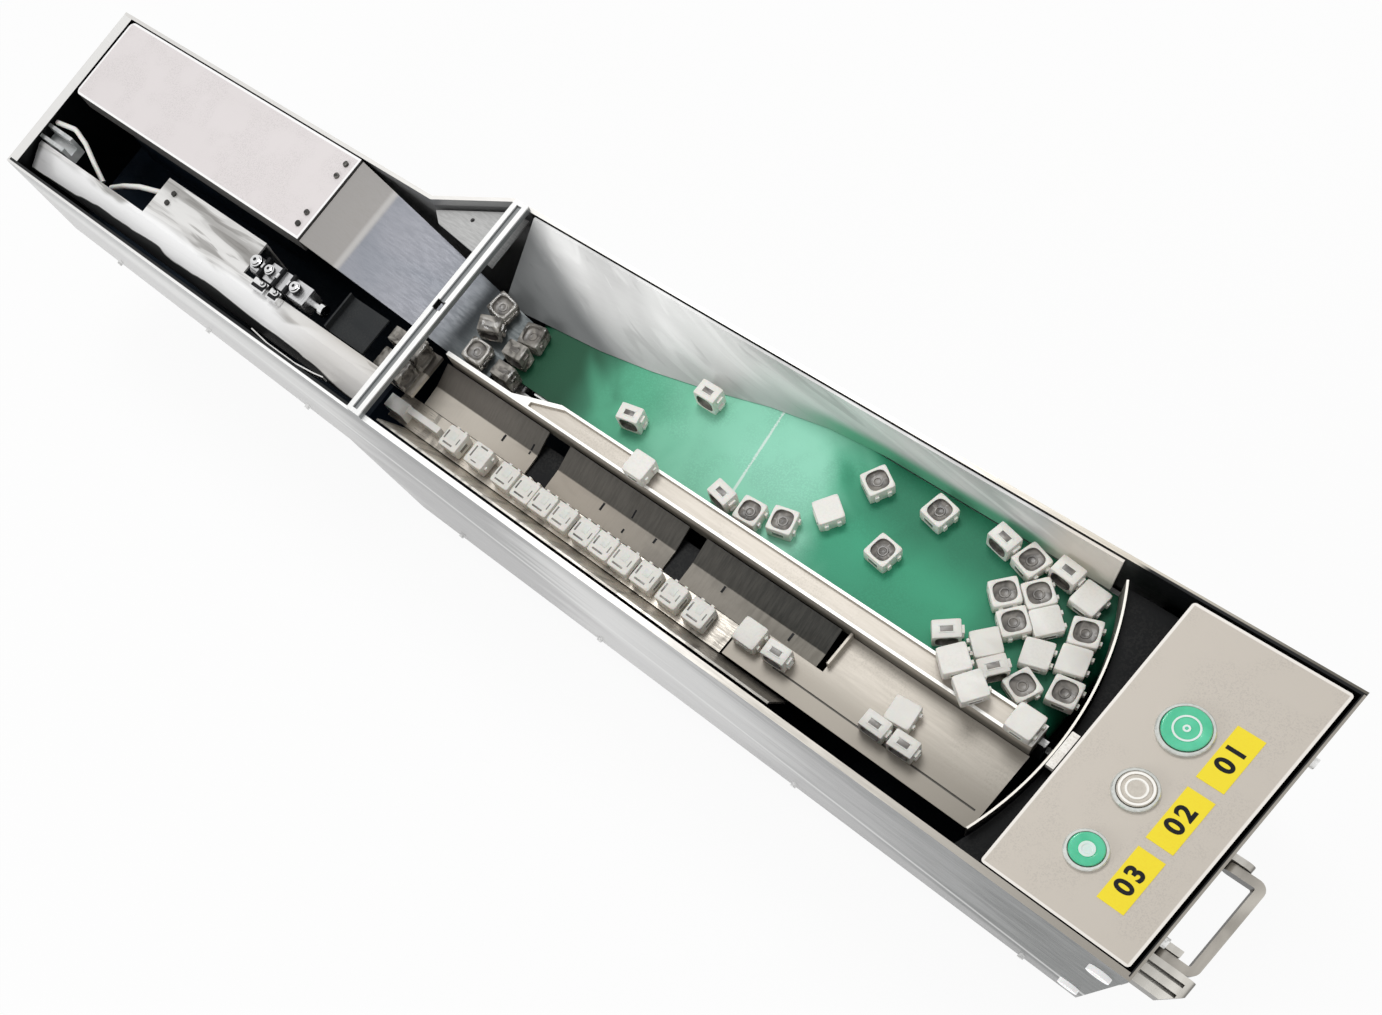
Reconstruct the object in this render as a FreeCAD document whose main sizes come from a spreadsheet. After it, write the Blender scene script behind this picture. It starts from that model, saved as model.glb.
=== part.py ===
import FreeCAD, Part
import math
import os
import re
import Sketcher
from FreeCAD import Placement, Rotation, Vector

# A linear parts feeder: a long open stainless casing with a green conveyor belt that
# carries square caps forwards, a vibrating track beside it that brings them back in a
# row, and a narrow rear arm that leads the row out.
#
# Casing coordinates, in millimetres: x runs from the rear wall to the front wall, y from
# the near wall to the far wall, z up from the ground. Every sub-part is then set back by
# the middle of the whole object, so that the origin is the bottom centre of its box.

doc = FreeCAD.newDocument("parts_feeder")
sizes = doc.addObject("Spreadsheet::Sheet", "Sizes")

DIMENSIONS = """
casing_length 992 outer length of the casing
casing_width 180 outer width of the front box
arm_width 153 outer width of the narrow rear arm
flare_start 360 where the far wall leaves the arm
flare_end 415 where the far wall reaches the front box's width
wall 2 thickness of the stainless sheet
hem 0.8 how far the folded rim stands in from the wall
hem_depth 6 height of the folded rim
near_hem 2 how far the near wall's thicker folded rim stands in
rear_flange 10.5 how far the rear wall's folded rim reaches forwards
grommet_radius 6.5 outer radius of the grommets in the side holes
rim 212 height of the rim above the ground
foot 12 height of a rubber foot
foot_radius 11 radius of a rubber foot
foot_rear 415 rear pair of feet
foot_front 962 front pair of feet
foot_inset 22 feet from the side walls
arm_depth_rear 88 depth of the arm at the rear wall
arm_depth_front 125 depth of the arm where the floor drops
arm_end 340 where the arm's floor drops to the box
box_start 385 where the box's floor starts
side_hole_x 982 the two holes beside the near front corner
side_hole_high 33 upper hole below the rim
side_hole_low 159 lower hole below the rim
side_hole_radius 3.5 radius of those holes
gusset_drop 10 gusset plate below the rim
gusset_front 430 front end of the gusset plate
sheet 1.5 thickness of the thin inner sheets
bar_start 420.5 rear face of the cross bar
bar_end 432.5 front face of the cross bar
bar_proud 5 how far the cross bar stands above the rim
bar_end_gap 2 far end of the cross bar short of the far face
bar_groove 4.4 width of the groove along the cross bar
bar_groove_depth 2 depth of that groove
bar_slot 6 side of the square slot in the cross bar
bar_slot_y 91 middle of that slot
cover_rear 14 rear edge of the rear cover
cover_front 291 front edge of the rear cover
cover_near 76.5 near edge of the rear cover
cover_far 148.8 far edge of the rear cover
cover_proud 0.6 top of the cover above the rim
cover_skirt 14 depth of the cover's folded edges
cover_corner 5 radius of the cover's rear corners
screw_radius 2.1 radius of a small screw head
screw_head 1.5 height of a small screw head
edge_screw 3 height of a screw head on the near wall
chute_near 76.5 near edge of the chute
chute_bend_x 330 where the chute's two facets meet
chute_bend_drop 8 depth of that bend
chute_foot_x 466 lower end of the chute
chute_foot_drop 34.6 depth of the lower end
chute_foot_far 127 far corner of the lower end
hopper_start 437 rear end of the polished hopper plate
hopper_end 866 front end of the polished hopper plate
hopper_top 176.6 outer face of the hopper plate at the rim
hopper_sheet 1.6 thickness of the hopper plate measured across
hopper_foot 172.5 inner line of the hopper plate at the belt, in front
belt_drop 37 top of the belt below the rim
belt_near 89 near edge of the belt
belt_far 172 far edge of the belt
belt_sheet 1.6 thickness of the belt
loop_radius 14.5 inside radius of the belt's loop
roller_radius 14.2 radius of both rollers
roller_rear 482 axis of the idler roller
roller_front 874 axis of the drive roller
shaft_radius 4 radius of shafts
shaft_play 0.05 radial play of a shaft in its bearing
bearing_radius 9 outer radius of a roller bearing
frame_near 82 near conveyor frame's near face
frame_far 173 far conveyor frame's near face
frame_sheet 4 thickness of the conveyor frames
frame_top 43 top of the conveyor frames below the rim
frame_low 72 lower edge of the conveyor frames below the rim
bed_start 500 rear end of the belt's slide bed
bed_end 856 front end of the slide bed
pulley_near 72.6 near face of the pulleys
pulley_width 8 width of the pulleys
pulley_radius 8.4 radius of the pulleys under the toothed belt
pulley_flange 9.4 radius of the pulleys' flanges
drive_belt_radius 8.7 inside radius of the toothed belt's loop
drive_belt_sheet 1.2 thickness of the toothed belt
motor_drop 125 motor shaft below the rim
motor_shaft_reach 20 length of the motor shaft into the gearbox
gearbox_near 98 near face of the gearbox
gearbox_side 50 side of the square gearbox
gearbox_length 30 length of the gearbox
motor_radius 23 radius of the motor
motor_length 42 length of the motor
divider_start 436 rear end of the divider rail
divider_wide 532 where the divider reaches its full width
divider_step 496 where it starts to widen
divider_end 888 front end of the divider rail
divider_near 73 near face of the divider rail
divider_far 87.5 far face of the divider rail
divider_drop 22 top of the divider below the rim
divider_depth 20 height of the divider rail
divider_lip 1.8 width of the divider's two lips
divider_groove 2.5 depth of the channel between the lips
deflector_x 703.4 centre of the deflector's arc
deflector_y 74.1 centre of the deflector's arc
deflector_radius 194.5 inside radius of the deflector's arc
deflector_sheet 1.2 thickness of the deflector strip
deflector_from 17.4 angle of its near end, below the x axis
deflector_sweep 47.2 angle of the whole strip
deflector_top 8 top edge of the strip below the rim
deflector_low 34 lower edge of the strip below the rim
shelf_drop 20 black front shelf below the rim
shelf_gap 1.4 shelf from the deflector strip
clip_near 66 near end of the deflector's clip
clip_far 88 far end of the deflector's clip
clip_height 4 height of the clip below the deflector's top edge
panel_start 905 rear edge of the control panel
panel_end 988 front edge of the control panel
panel_gap 4.8 control panel from the casing's outer faces
panel_proud 0.5 control panel above the rim
panel_skirt 12 depth of the panel's folded edges
panel_corner 2 radius of the panel's corners
button_x 940 line of the three buttons
button_start_y 117 middle of the large green button
button_stop_y 78.5 middle of the metal button
button_reset_y 40 middle of the small green button
button_start_radius 13.8 bezel of the large green button
button_stop_radius 11.4 bezel of the metal button
button_reset_radius 10.9 bezel of the small green button
button_bezel_rim 3.6 width of a bezel ring
button_bezel_height 3 height of a bezel ring
button_cap_proud 5 cap above the panel
button_play 0.3 cap inside its bezel
button_body_depth 26 depth of a contact body below the panel
label_start 957 rear edge of the labels
label_width 14.6 width of a label
label_length 32.4 length of a label
label_thickness 0.3 thickness of a label
label_start_y 116.8 middle of the first label
label_stop_y 78.2 middle of the second label
label_reset_y 40.4 middle of the third label
plate_start 771 rear end of the return plate's wide part
plate_tongue 716 rear end of its tongue
plate_end 889 front end of the return plate
plate_near 20.6 near edge of the return plate
plate_tongue_far 46 far edge of the tongue
plate_far 72.6 far edge of the return plate
plate_drop 40 top of the return plate below the rim
plate_flange 7 height of the upright flange at its rear end
plate_groove_y 32 the long groove in the return plate
plate_groove 1.2 width of that groove
lane_start 413 rear end of the vibrating lane
guide_start 431 rear end of the near guide
lane_block_end 431 front end of the stop block on the lane
lane_block_near 23 near face of the stop block
lane_block_far 33 far face of the stop block
lane_block_drop 34 top of the stop block below the rim
lane_bar_end 461 front end of the stop's bar
lane_bar_near 28 near face of the stop's bar
lane_bar_far 32.6 far face of the stop's bar
lane_bar_drop 36 top of the stop's bar below the rim
lane_end 713 front end of the vibrating lane
lane_near 20.6 near edge of the lane
lane_far 41 far edge of the lane
lane_drop 45 top of the lane below the rim
guide_end 764 front end of the near guide
guide_top_y 8 near face of the guide's top edge
guide_drop 15 guide's top edge below the rim
segment_first 431.5 rear end of the first track segment
segment_second 548 rear end of the second track segment
segment_third 663.5 rear end of the third track segment
segment_length 101.5 length of the second and third track segments
segment_gap 19 gap between the first and the second track segment
segment_fold_y 56 fold line along the segments
segment_fold_drop 43.4 fold line below the rim
segment_far 72 far edge of the segments
segment_far_drop 36.5 far edge below the rim
beam_start 432 rear end of the vibrating beam
beam_end 762 front end of the vibrating beam
beam_near 24 near face of the beam
beam_far 66 far face of the beam
beam_depth 15 height of the beam
spring_rear 478 rear leaf spring
spring_front 716 front leaf spring
spring_lean 12 how far the springs lean back
spring_sheet 1.5 thickness of a leaf spring
base_drop 130 top of the vibrator's base below the rim
base_depth 20 height of the vibrator's base
base_start 455 rear end of the vibrator's base
base_end 735 front end of the vibrator's base
magnet_x 597 middle of the magnet
magnet_side 34 side of the magnet along x
magnet_gap 3 gap between the magnet and its armature
armature_depth 9 height of the armature
cushion_radius 9 radius of the vibrator's rubber cushions
controller_start 40 rear end of the controller under the rear cover
controller_end 240 front end of the controller
controller_near 84 near face of the controller
controller_far 142 far face of the controller
controller_low 74 lower face of the controller below the rim
controller_top 20 upper face of the controller below the rim
inlet_near 105 near edge of the power inlet's flange
inlet_width 52 width of the power inlet's flange
inlet_low 150 lower edge of the flange below the rim
inlet_height 32 height of the flange
outfeed_start 5 rear end of the outfeed sheet
outfeed_end 418 front end of the outfeed sheet
outfeed_near 9.6 near edge of the outfeed sheet
outfeed_fold 28 fold line along the outfeed sheet
outfeed_step 144 where the sheet gets wide
outfeed_step_y 31 far edge of its narrow rear part
outfeed_far 64 far edge of its wide part
outfeed_drop 9 top of the sheet below the rim
outfeed_near_drop 17 near edge of the sheet below the rim
outfeed_skirt 32 depth of the sheet's far skirt
outfeed_taper 262 where its far edge turns in
outfeed_front_y 37 far edge beside the escapement
air_block_start 3.5 rear end of the clear air block
air_block_end 36 front end of the air block
air_block_near 32.5 near face of the air block
air_block_far 46 far face of the air block
air_block_drop 6 top of the air block below the rim
air_block_depth 16 height of the air block
tube_radius 2 outer radius of the air tubes
stop_start 268 rear end of the escapement
stop_end 330 front end of the escapement's body
stop_near 40 near face of the escapement
stop_far 54 far face of the escapement
stop_drop 2 top of the escapement below the rim
stop_depth 14 height of the escapement
stop_rod 2.5 radius of the escapement's rod
stop_reach 14 rod in front of the body
stop_head 4.5 radius of the rod's head
sensor_start 352 rear edge of the dark sensor plate
sensor_end 389 front edge of the sensor plate
sensor_near 38.5 near edge of the sensor plate
sensor_far 68 far edge of the sensor plate
sensor_drop 12 top of the sensor plate below the rim
strap_width 6 height of the curved retaining strap
strap_sheet 0.9 thickness of the retaining strap
tray_drop 32 top of the catch tray below the rim
heap_rise 1.2 lowest face of the caps heaped over the divider, above its lips
tray_end 429.2 front end of the catch tray
tray_lip 3 width of the tray's raised front lip
handle_reach 27 how far the handle stands out of the front wall
handle_pivot 7.5 handle's pivot from the front wall
handle_drop 42 handle's pivot below the rim
handle_strip 5 thickness of the handle's flat bar
handle_flat 9 width of the handle's flat bar
handle_pin 3 radius of the handle's pivot pins
handle_arm 15 pivot to the middle of the grip
handle_bend 6 outer bend radius of the handle's bar
handle_near 24.3 near face of the near arm
handle_far 85.5 far face of the far arm
bracket_near 6.5 near face of the ribbed bracket
bracket_width 27 width of the ribbed bracket
bracket_groove 2 width of the grooves between its ribs
bracket_far 85.9 near face of the far bracket
bracket_arm 3.6 thickness of the far bracket's arm
bracket_sheet 2.5 thickness of the brackets' back plates
bracket_height 14 height of the brackets
cap_side 16 side of a square cap
cap_height 11 height of a cap
cap_corner 1.8 radius of a cap's upright edges
cap_recess 5.2 radius of the round recess
cap_recess_depth 2.4 depth of the recess
cap_peg 1.6 how far a cap's two pegs stand out
"""

names = set()
for row, line in enumerate(DIMENSIONS.strip().splitlines(), start=1):
    alias, value, meaning = line.split(" ", 2)
    sizes.set(f"A{row}", meaning)
    sizes.set(f"B{row}", value)
    sizes.setAlias(f"B{row}", alias)
    names.add(alias)
doc.recompute()

MIDDLE = ("(casing_length + handle_reach) / 2", "(casing_width - edge_screw) / 2", "0")
ROLLER_DROP = "belt_drop + belt_sheet + loop_radius"
PLANE_ROLES = {"XY": "XY_Plane", "XZ": "XZ_Plane", "YZ": "YZ_Plane"}
TURN_TO = {
    "x": Rotation(Vector(0, 1, 0), 90),
    "y": Rotation(Vector(1, 0, 0), -90),
    "z": Rotation(),
}
starts = {}
subparts = []


def full(expression):
    """The expression with the sheet's name put in front of each of its aliases."""
    def named(word):
        return "Sizes." + word.group() if word.group() in names else word.group()
    return re.sub(r"[a-z][a-z_0-9]*", named, expression)


def at(expression):
    """The value of an expression, in millimetres or degrees."""
    return float(sizes.evalExpression(full(expression)))


def keep(label, piece):
    """Names a finished sub-part and sets it back from casing coordinates to the origin."""
    piece.Label = label
    start = starts.get(piece.Name, ("0", "0", "0"))
    for axis, low, middle in zip("xyz", start, MIDDLE):
        piece.setExpression(f"Placement.Base.{axis}", full(f"{low} - {middle}"))
    subparts.append(piece)
    return piece


# Primitives and booleans


def block(name, x, y, z):
    """A box between two expressions on each axis."""
    made = doc.addObject("Part::Box", name)
    for side, axis, (low, high) in zip(("Length", "Width", "Height"), "xyz", (x, y, z)):
        made.setExpression(side, full(f"({high}) - ({low})"))
        made.setExpression(f"Placement.Base.{axis}", full(low))
    starts[made.Name] = (x[0], y[0], z[0])
    return made


def rod(name, along, start, radius, length):
    """A cylinder from start towards +x, +y or +z."""
    made = doc.addObject("Part::Cylinder", name)
    made.Placement = Placement(Vector(), TURN_TO[along])
    made.setExpression("Radius", full(radius))
    made.setExpression("Height", full(length))
    for axis, low in zip("xyz", start):
        made.setExpression(f"Placement.Base.{axis}", full(low))
    starts[made.Name] = tuple(start)
    return made


def join(name, *pieces):
    made = doc.addObject("Part::MultiFuse", name)
    made.Shapes = list(pieces)
    return made


def group(name, *pieces):
    made = doc.addObject("Part::Compound", name)
    made.Links = list(pieces)
    return made


def cut(name, base, *tools):
    made = doc.addObject("Part::Cut", name)
    made.Base = base
    made.Tool = tools[0] if len(tools) == 1 else join(name + "_tools", *tools)
    return made


def ring(name, along, start, outer, inner, length):
    """A tube from start towards +x, +y or +z."""
    return cut(
        name,
        rod(name + "_outer", along, start, outer, length),
        rod(name + "_inner", along, start, inner, length),
    )


def loop(name, low, high, y, inner, sheet):
    """A flat belt round two equal pulleys whose axes, low and high, run along y."""
    (x1, z1), (x2, z2) = low, high
    wide = f"({y[1]}) - ({y[0]})"

    def racetrack(part, radius):
        level = z1 == z2
        x = (x1, x2) if level else (f"{x1} - ({radius})", f"{x1} + {radius}")
        z = (f"{z1} - ({radius})", f"{z1} + {radius}") if level else (z1, z2)
        return join(
            part,
            block(part + "_runs", x, y, z),
            rod(part + "_low", "y", (x1, y[0], z1), radius, wide),
            rod(part + "_high", "y", (x2, y[0], z2), radius, wide),
        )

    return cut(
        name,
        racetrack(name + "_outside", f"{inner} + {sheet}"),
        racetrack(name + "_inside", inner),
    )


# Sketched bodies


def body(name):
    return doc.addObject("PartDesign::Body", name)


def sketch_on(piece, plane, offset):
    """A sketch on one of the body's own planes, moved along that plane's axis."""
    sketch = piece.newObject("Sketcher::SketchObject", f"{piece.Name}_sketch")
    role = PLANE_ROLES[plane]
    face = next(f for f in piece.Origin.OriginFeatures if f.Role == role)
    sketch.AttachmentSupport = [(face, "")]
    sketch.MapMode = "FlatFace"
    along = f"-({offset})" if plane == "XZ" else offset
    sketch.setExpression("AttachmentOffset.Base.z", full(along))
    return sketch


def hold(sketch, index, spot, x, y):
    """Fixes a point of a sketch at two expressions."""
    for kind, axis, value in (("DistanceX", -2, x), ("DistanceY", -1, y)):
        if at(value) == 0:
            sketch.addConstraint(Sketcher.Constraint("PointOnObject", index, spot, axis))
            continue
        rule = Sketcher.Constraint(kind, -1, 1, index, spot, at(value))
        number = sketch.addConstraint(rule)
        sketch.setExpression(f"Constraints[{number}]", full(value))


def draw(sketch, corners=(), circles=()):
    """A closed outline through corners, and circles as (x, y, radius)."""
    points = [Vector(at(x), at(y), 0) for x, y in corners]
    lines = [
        sketch.addGeometry(Part.LineSegment(point, points[(i + 1) % len(points)]))
        for i, point in enumerate(points)
    ]
    for i, line in enumerate(lines):
        follower = lines[(i + 1) % len(lines)]
        sketch.addConstraint(Sketcher.Constraint("Coincident", line, 2, follower, 1))
    for line, (x, y) in zip(lines, corners):
        hold(sketch, line, 1, x, y)
    for x, y, radius in circles:
        centre = Vector(at(x), at(y), 0)
        circle = sketch.addGeometry(Part.Circle(centre, Vector(0, 0, 1), at(radius)))
        hold(sketch, circle, 3, x, y)
        rule = Sketcher.Constraint("Radius", circle, at(radius))
        number = sketch.addConstraint(rule)
        sketch.setExpression(f"Constraints[{number}]", full(radius))


def pad(piece, plane, corners, start, length, circles=()):
    """Material from start, for a length, along the plane's axis."""
    sketch = sketch_on(piece, plane, start)
    draw(sketch, corners, circles)
    made = piece.newObject("PartDesign::Pad", f"{piece.Name}_pad")
    made.Profile = sketch
    made.Reversed = plane == "XZ"
    made.setExpression("Length", full(length))
    doc.recompute()
    return made


def pocket(piece, plane, corners, start, depth=None, circles=()):
    """Takes material away: downwards or backwards from start, or towards +y on XZ."""
    sketch = sketch_on(piece, plane, start)
    draw(sketch, corners, circles)
    made = piece.newObject("PartDesign::Pocket", f"{piece.Name}_pocket")
    made.Profile = sketch
    if depth is None:
        made.Type = "ThroughAll"
    else:
        made.setExpression("Length", full(depth))
    doc.recompute()
    return made


def round_edges(piece, radius, chosen):
    """Fillets the edges of the body's tip that chosen picks."""
    tip = piece.Tip
    edges = [
        f"Edge{i}" for i, edge in enumerate(tip.Shape.Edges, start=1) if chosen(edge)
    ]
    made = piece.newObject("PartDesign::Fillet", f"{piece.Name}_fillet")
    made.Base = (tip, edges)
    made.setExpression("Radius", full(radius))
    doc.recompute()
    return made


def rectangle(x1, x2, y1, y2):
    return [(x1, y1), (x2, y1), (x2, y2), (x1, y2)]


def upright(edge):
    """Whether an edge is a straight line along z."""
    first, last = edge.Vertexes[0].Point, edge.Vertexes[-1].Point
    run = last - first
    return abs(run.z) > 1 and math.hypot(run.x, run.y) < 0.01


def rounded_path(points, radius):
    """Straight runs through points, joined by tangent arcs of one radius."""
    edges, here = [], points[0]
    for before, corner, after in zip(points, points[1:], points[2:]):
        back = (before - corner).normalize()
        ahead = (after - corner).normalize()
        half = back.getAngle(ahead) / 2
        reach = radius / math.tan(half)
        start, end = corner + back * reach, corner + ahead * reach
        inward = (back + ahead).normalize()
        middle = corner + inward * (radius / math.sin(half) - radius)
        edges += [Part.LineSegment(here, start).toShape(), Part.Arc(start, middle, end).toShape()]
        here = end
    edges.append(Part.LineSegment(here, points[-1]).toShape())
    return Part.Wire(edges)


def pipe(points, bend, radius):
    """A round bar or tube along a rounded path."""
    path = rounded_path(points, bend)
    ahead = points[1] - points[0]
    profile = Part.Wire(Part.Circle(points[0], ahead, radius).toShape())
    return path.makePipeShell([profile], True, False)


def feature(name, shape):
    made = doc.addObject("Part::Feature", name)
    made.Shape = shape
    return made


# Casing


def near_wall():
    piece = body("near_wall")
    profile = [
        ("0", "rim - arm_depth_rear"),
        ("arm_end", "rim - arm_depth_front"),
        ("box_start", "foot"),
        ("casing_length", "foot"),
        ("casing_length", "rim"),
        ("0", "rim"),
    ]
    holes = [
        ("side_hole_x", "rim - side_hole_high", "side_hole_radius"),
        ("side_hole_x", "rim - side_hole_low", "side_hole_radius"),
    ]
    pad(piece, "XZ", profile, "0", "wall", holes)
    hem = rectangle("wall", "casing_length - wall", "rim - hem_depth", "rim")
    pad(piece, "XZ", hem, "wall", "near_hem")
    keep("near_wall", piece)


def wall_line(inset):
    """The far wall's plan at a distance in from its outer face, rear to front."""
    return [
        ("wall" if inset != "0" else "0", f"arm_width - ({inset})"),
        (f"flare_start + ({inset}) / 4", f"arm_width - ({inset})"),
        (f"flare_end + ({inset}) / 4", f"casing_width - ({inset})"),
        ("casing_length - wall" if inset != "0" else "casing_length", f"casing_width - ({inset})"),
    ]


def far_wall():
    piece = body("far_wall")
    inner = wall_line("wall")
    inner[0] = ("0", inner[0][1])
    inner[-1] = ("casing_length", inner[-1][1])
    pad(piece, "XY", wall_line("0") + inner[::-1], "foot", "rim - foot")
    under_arm = [
        ("0", "0"),
        ("box_start", "0"),
        ("box_start", "foot"),
        ("arm_end", "rim - arm_depth_front"),
        ("0", "rim - arm_depth_rear"),
    ]
    pocket(piece, "XZ", under_arm, "0")
    hem = wall_line("wall") + wall_line("wall + hem")[::-1]
    pad(piece, "XY", hem, "rim - hem_depth", "hem_depth")
    keep("far_wall", piece)


def end_walls():
    front = body("front_wall")
    inside = rectangle("wall", "casing_width - wall", "foot", "rim")
    pad(front, "YZ", inside, "casing_length - wall", "wall")
    socket = rectangle(
        "inlet_near + 3",
        "inlet_near + inlet_width - 3",
        "rim - inlet_low + 3",
        "rim - inlet_low + inlet_height - 3",
    )
    pocket(front, "YZ", socket, "casing_length")
    keep("front_wall", front)
    upright_sheet = block(
        "rear_sheet",
        ("0", "wall"),
        ("wall", "arm_width - wall"),
        ("rim - arm_depth_rear", "rim"),
    )
    flange = block(
        "rear_rim",
        ("0", "rear_flange"),
        ("wall + near_hem", "arm_width - wall - hem"),
        ("rim - sheet", "rim"),
    )
    keep("rear_wall", join("rear_wall", upright_sheet, flange))


def floor_pan():
    piece = body("floor_pan")
    under = [
        ("wall", "rim - arm_depth_rear"),
        ("arm_end", "rim - arm_depth_front"),
        ("box_start", "foot"),
        ("casing_length - wall", "foot"),
    ]
    over = [
        ("wall", "rim - arm_depth_rear + wall"),
        ("arm_end + wall", "rim - arm_depth_front + wall"),
        ("box_start + wall", "foot + wall"),
        ("casing_length - wall", "foot + wall"),
    ]
    pad(piece, "XZ", under + over[::-1], "wall", "casing_width - 2 * wall")
    beside = wall_line("wall")
    beside[0] = ("0", beside[0][1])
    beside = beside[:3] + [("flare_end + wall / 4", "casing_width"), ("0", "casing_width")]
    pocket(piece, "XY", beside, "rim")
    keep("floor_pan", piece)


def gusset_plate():
    piece = body("gusset_plate")
    outline = [
        ("flare_start + 3", "arm_width - 4"),
        ("flare_end + 1", "casing_width - 5"),
        ("gusset_front", "casing_width - 5"),
        ("gusset_front", "arm_width - 18"),
        ("flare_start + 12", "arm_width - 11"),
    ]
    hole = [("flare_start + 33", "arm_width + 3", "1.6")]
    pad(piece, "XY", outline, "rim - gusset_drop", "sheet", hole)
    keep("gusset_plate", piece)


def cross_bar():
    piece = body("cross_bar")
    plan = rectangle("bar_start", "bar_end", "0", "casing_width - bar_end_gap")
    pad(piece, "XY", plan, "rim", "bar_proud")
    middle = "(bar_start + bar_end) / 2"
    groove = rectangle(
        f"{middle} - bar_groove / 2",
        f"{middle} + bar_groove / 2",
        "3",
        "casing_width - bar_end_gap - 3",
    )
    pocket(piece, "XY", groove, "rim + bar_proud", "bar_groove_depth")
    slot = rectangle(
        f"{middle} - bar_slot / 2",
        f"{middle} + bar_slot / 2",
        "bar_slot_y - bar_slot / 2",
        "bar_slot_y + bar_slot / 2",
    )
    pocket(piece, "XY", slot, "rim + bar_proud")
    keep("cross_bar", piece)


def rubber_feet():
    feet = []
    for end in ("foot_rear", "foot_front"):
        for side in ("foot_inset", "casing_width - foot_inset"):
            feet.append(rod(f"foot_{len(feet) + 1}", "z", (end, side, "0"), "foot_radius", "foot"))
    keep("rubber_feet", group("rubber_feet", *feet))


def casing_screws():
    """Small heads along the near wall's lower edge and on the front wall."""
    heads = []
    low = [(70, 94), (182, 106), (300, 118), (440, 192), (590, 192), (772, 192), (952, 192)]
    for x, drop in low:
        start = (str(x), "-edge_screw", f"rim - {drop} + 8")
        heads.append(rod("edge_screw", "y", start, "screw_radius", "edge_screw"))
    for y in (27, 140):
        start = ("casing_length", str(y), "rim - 9")
        heads.append(rod("front_screw", "x", start, "screw_radius * 1.4", "screw_head * 2"))
    keep("small_screws", group("small_screws", *heads, *cover_screws()))


def side_grommets():
    """Plastic grommets around the two side holes, which stay open."""
    rings = [
        ring(
            "grommet",
            "y",
            ("side_hole_x", "-edge_screw", f"rim - {drop}"),
            "grommet_radius",
            "side_hole_radius",
            "edge_screw",
        )
        for drop in ("side_hole_high", "side_hole_low")
    ]
    keep("side_grommets", group("side_grommets", *rings))


def power_inlet():
    front = "casing_length + 3"
    near, far = "inlet_near", "inlet_near + inlet_width"
    low, high = "rim - inlet_low", "rim - inlet_low + inlet_height"
    flange = block("inlet_flange", ("casing_length", front), (near, far), (low, high))
    housing = block(
        "inlet_housing",
        ("casing_length - 24", "casing_length"),
        (f"{near} + 3.2", f"{far} - 3.2"),
        (f"{low} + 3.2", f"{high} - 3.2"),
    )
    recess = block(
        "inlet_recess",
        ("casing_length - 18", front),
        (f"{near} + 12", f"{far} - 12"),
        (f"{low} + 7", f"{high} - 7"),
    )
    keep("power_inlet", cut("power_inlet", join("inlet_shell", flange, housing), recess))


# Rear arm


def rear_cover():
    piece = body("rear_cover")
    plan = rectangle("cover_rear", "cover_front", "cover_near", "cover_far")
    pad(piece, "XY", plan, "rim + cover_proud - cover_skirt", "cover_skirt")
    rear = at("cover_rear")
    round_edges(piece, "cover_corner", lambda e: upright(e) and e.Vertexes[0].X < rear + 1)
    inside = rectangle(
        "cover_rear + sheet",
        "cover_front - sheet",
        "cover_near + sheet",
        "cover_far - sheet",
    )
    below = pocket(piece, "XY", inside, "rim + cover_proud - sheet", "cover_skirt")
    below.Refine = True
    keep("rear_cover", piece)


def cover_screws():
    heads = []
    for y in (86, 96, 129.5, 140):
        start = ("cover_front - 8", str(y), "rim + cover_proud")
        heads.append(rod("cover_screw", "z", start, "screw_radius", "screw_head"))
    for y in (47, 55.5):
        start = ("outfeed_step + 15", str(y), "rim - outfeed_drop")
        heads.append(rod("outfeed_screw", "z", start, "screw_radius", "screw_head"))
    return heads


def chute():
    piece = body("chute")
    top = [
        ("cover_front + 1", "rim - 1"),
        ("chute_bend_x", "rim - chute_bend_drop"),
        ("chute_foot_x", "rim - chute_foot_drop"),
    ]
    under = [(x, f"{z} - sheet") for x, z in top]
    pad(piece, "XZ", top + under[::-1], "chute_near", "cover_far - chute_near")
    trim = [
        ("cover_front", "cover_far"),
        ("chute_foot_x", "chute_foot_far"),
        ("chute_foot_x + 9", "chute_foot_far"),
        ("chute_foot_x + 9", "cover_far + 9"),
        ("cover_front", "cover_far + 9"),
    ]
    pocket(piece, "XY", trim, "rim")
    keep("chute", piece)


def controller():
    case = block(
        "controller_case",
        ("controller_start", "controller_end"),
        ("controller_near", "controller_far"),
        ("rim - controller_low", "rim - controller_top"),
    )
    fins = []
    for i in range(9):
        x = f"controller_start + 20 + {18 * i}"
        fins.append(
            block(
                "controller_slot",
                (x, f"{x} + 8"),
                ("controller_near + 6", "controller_far - 6"),
                ("rim - controller_top - 4", "rim - controller_top"),
            )
        )
    keep("controller", cut("controller", case, *fins))


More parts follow.
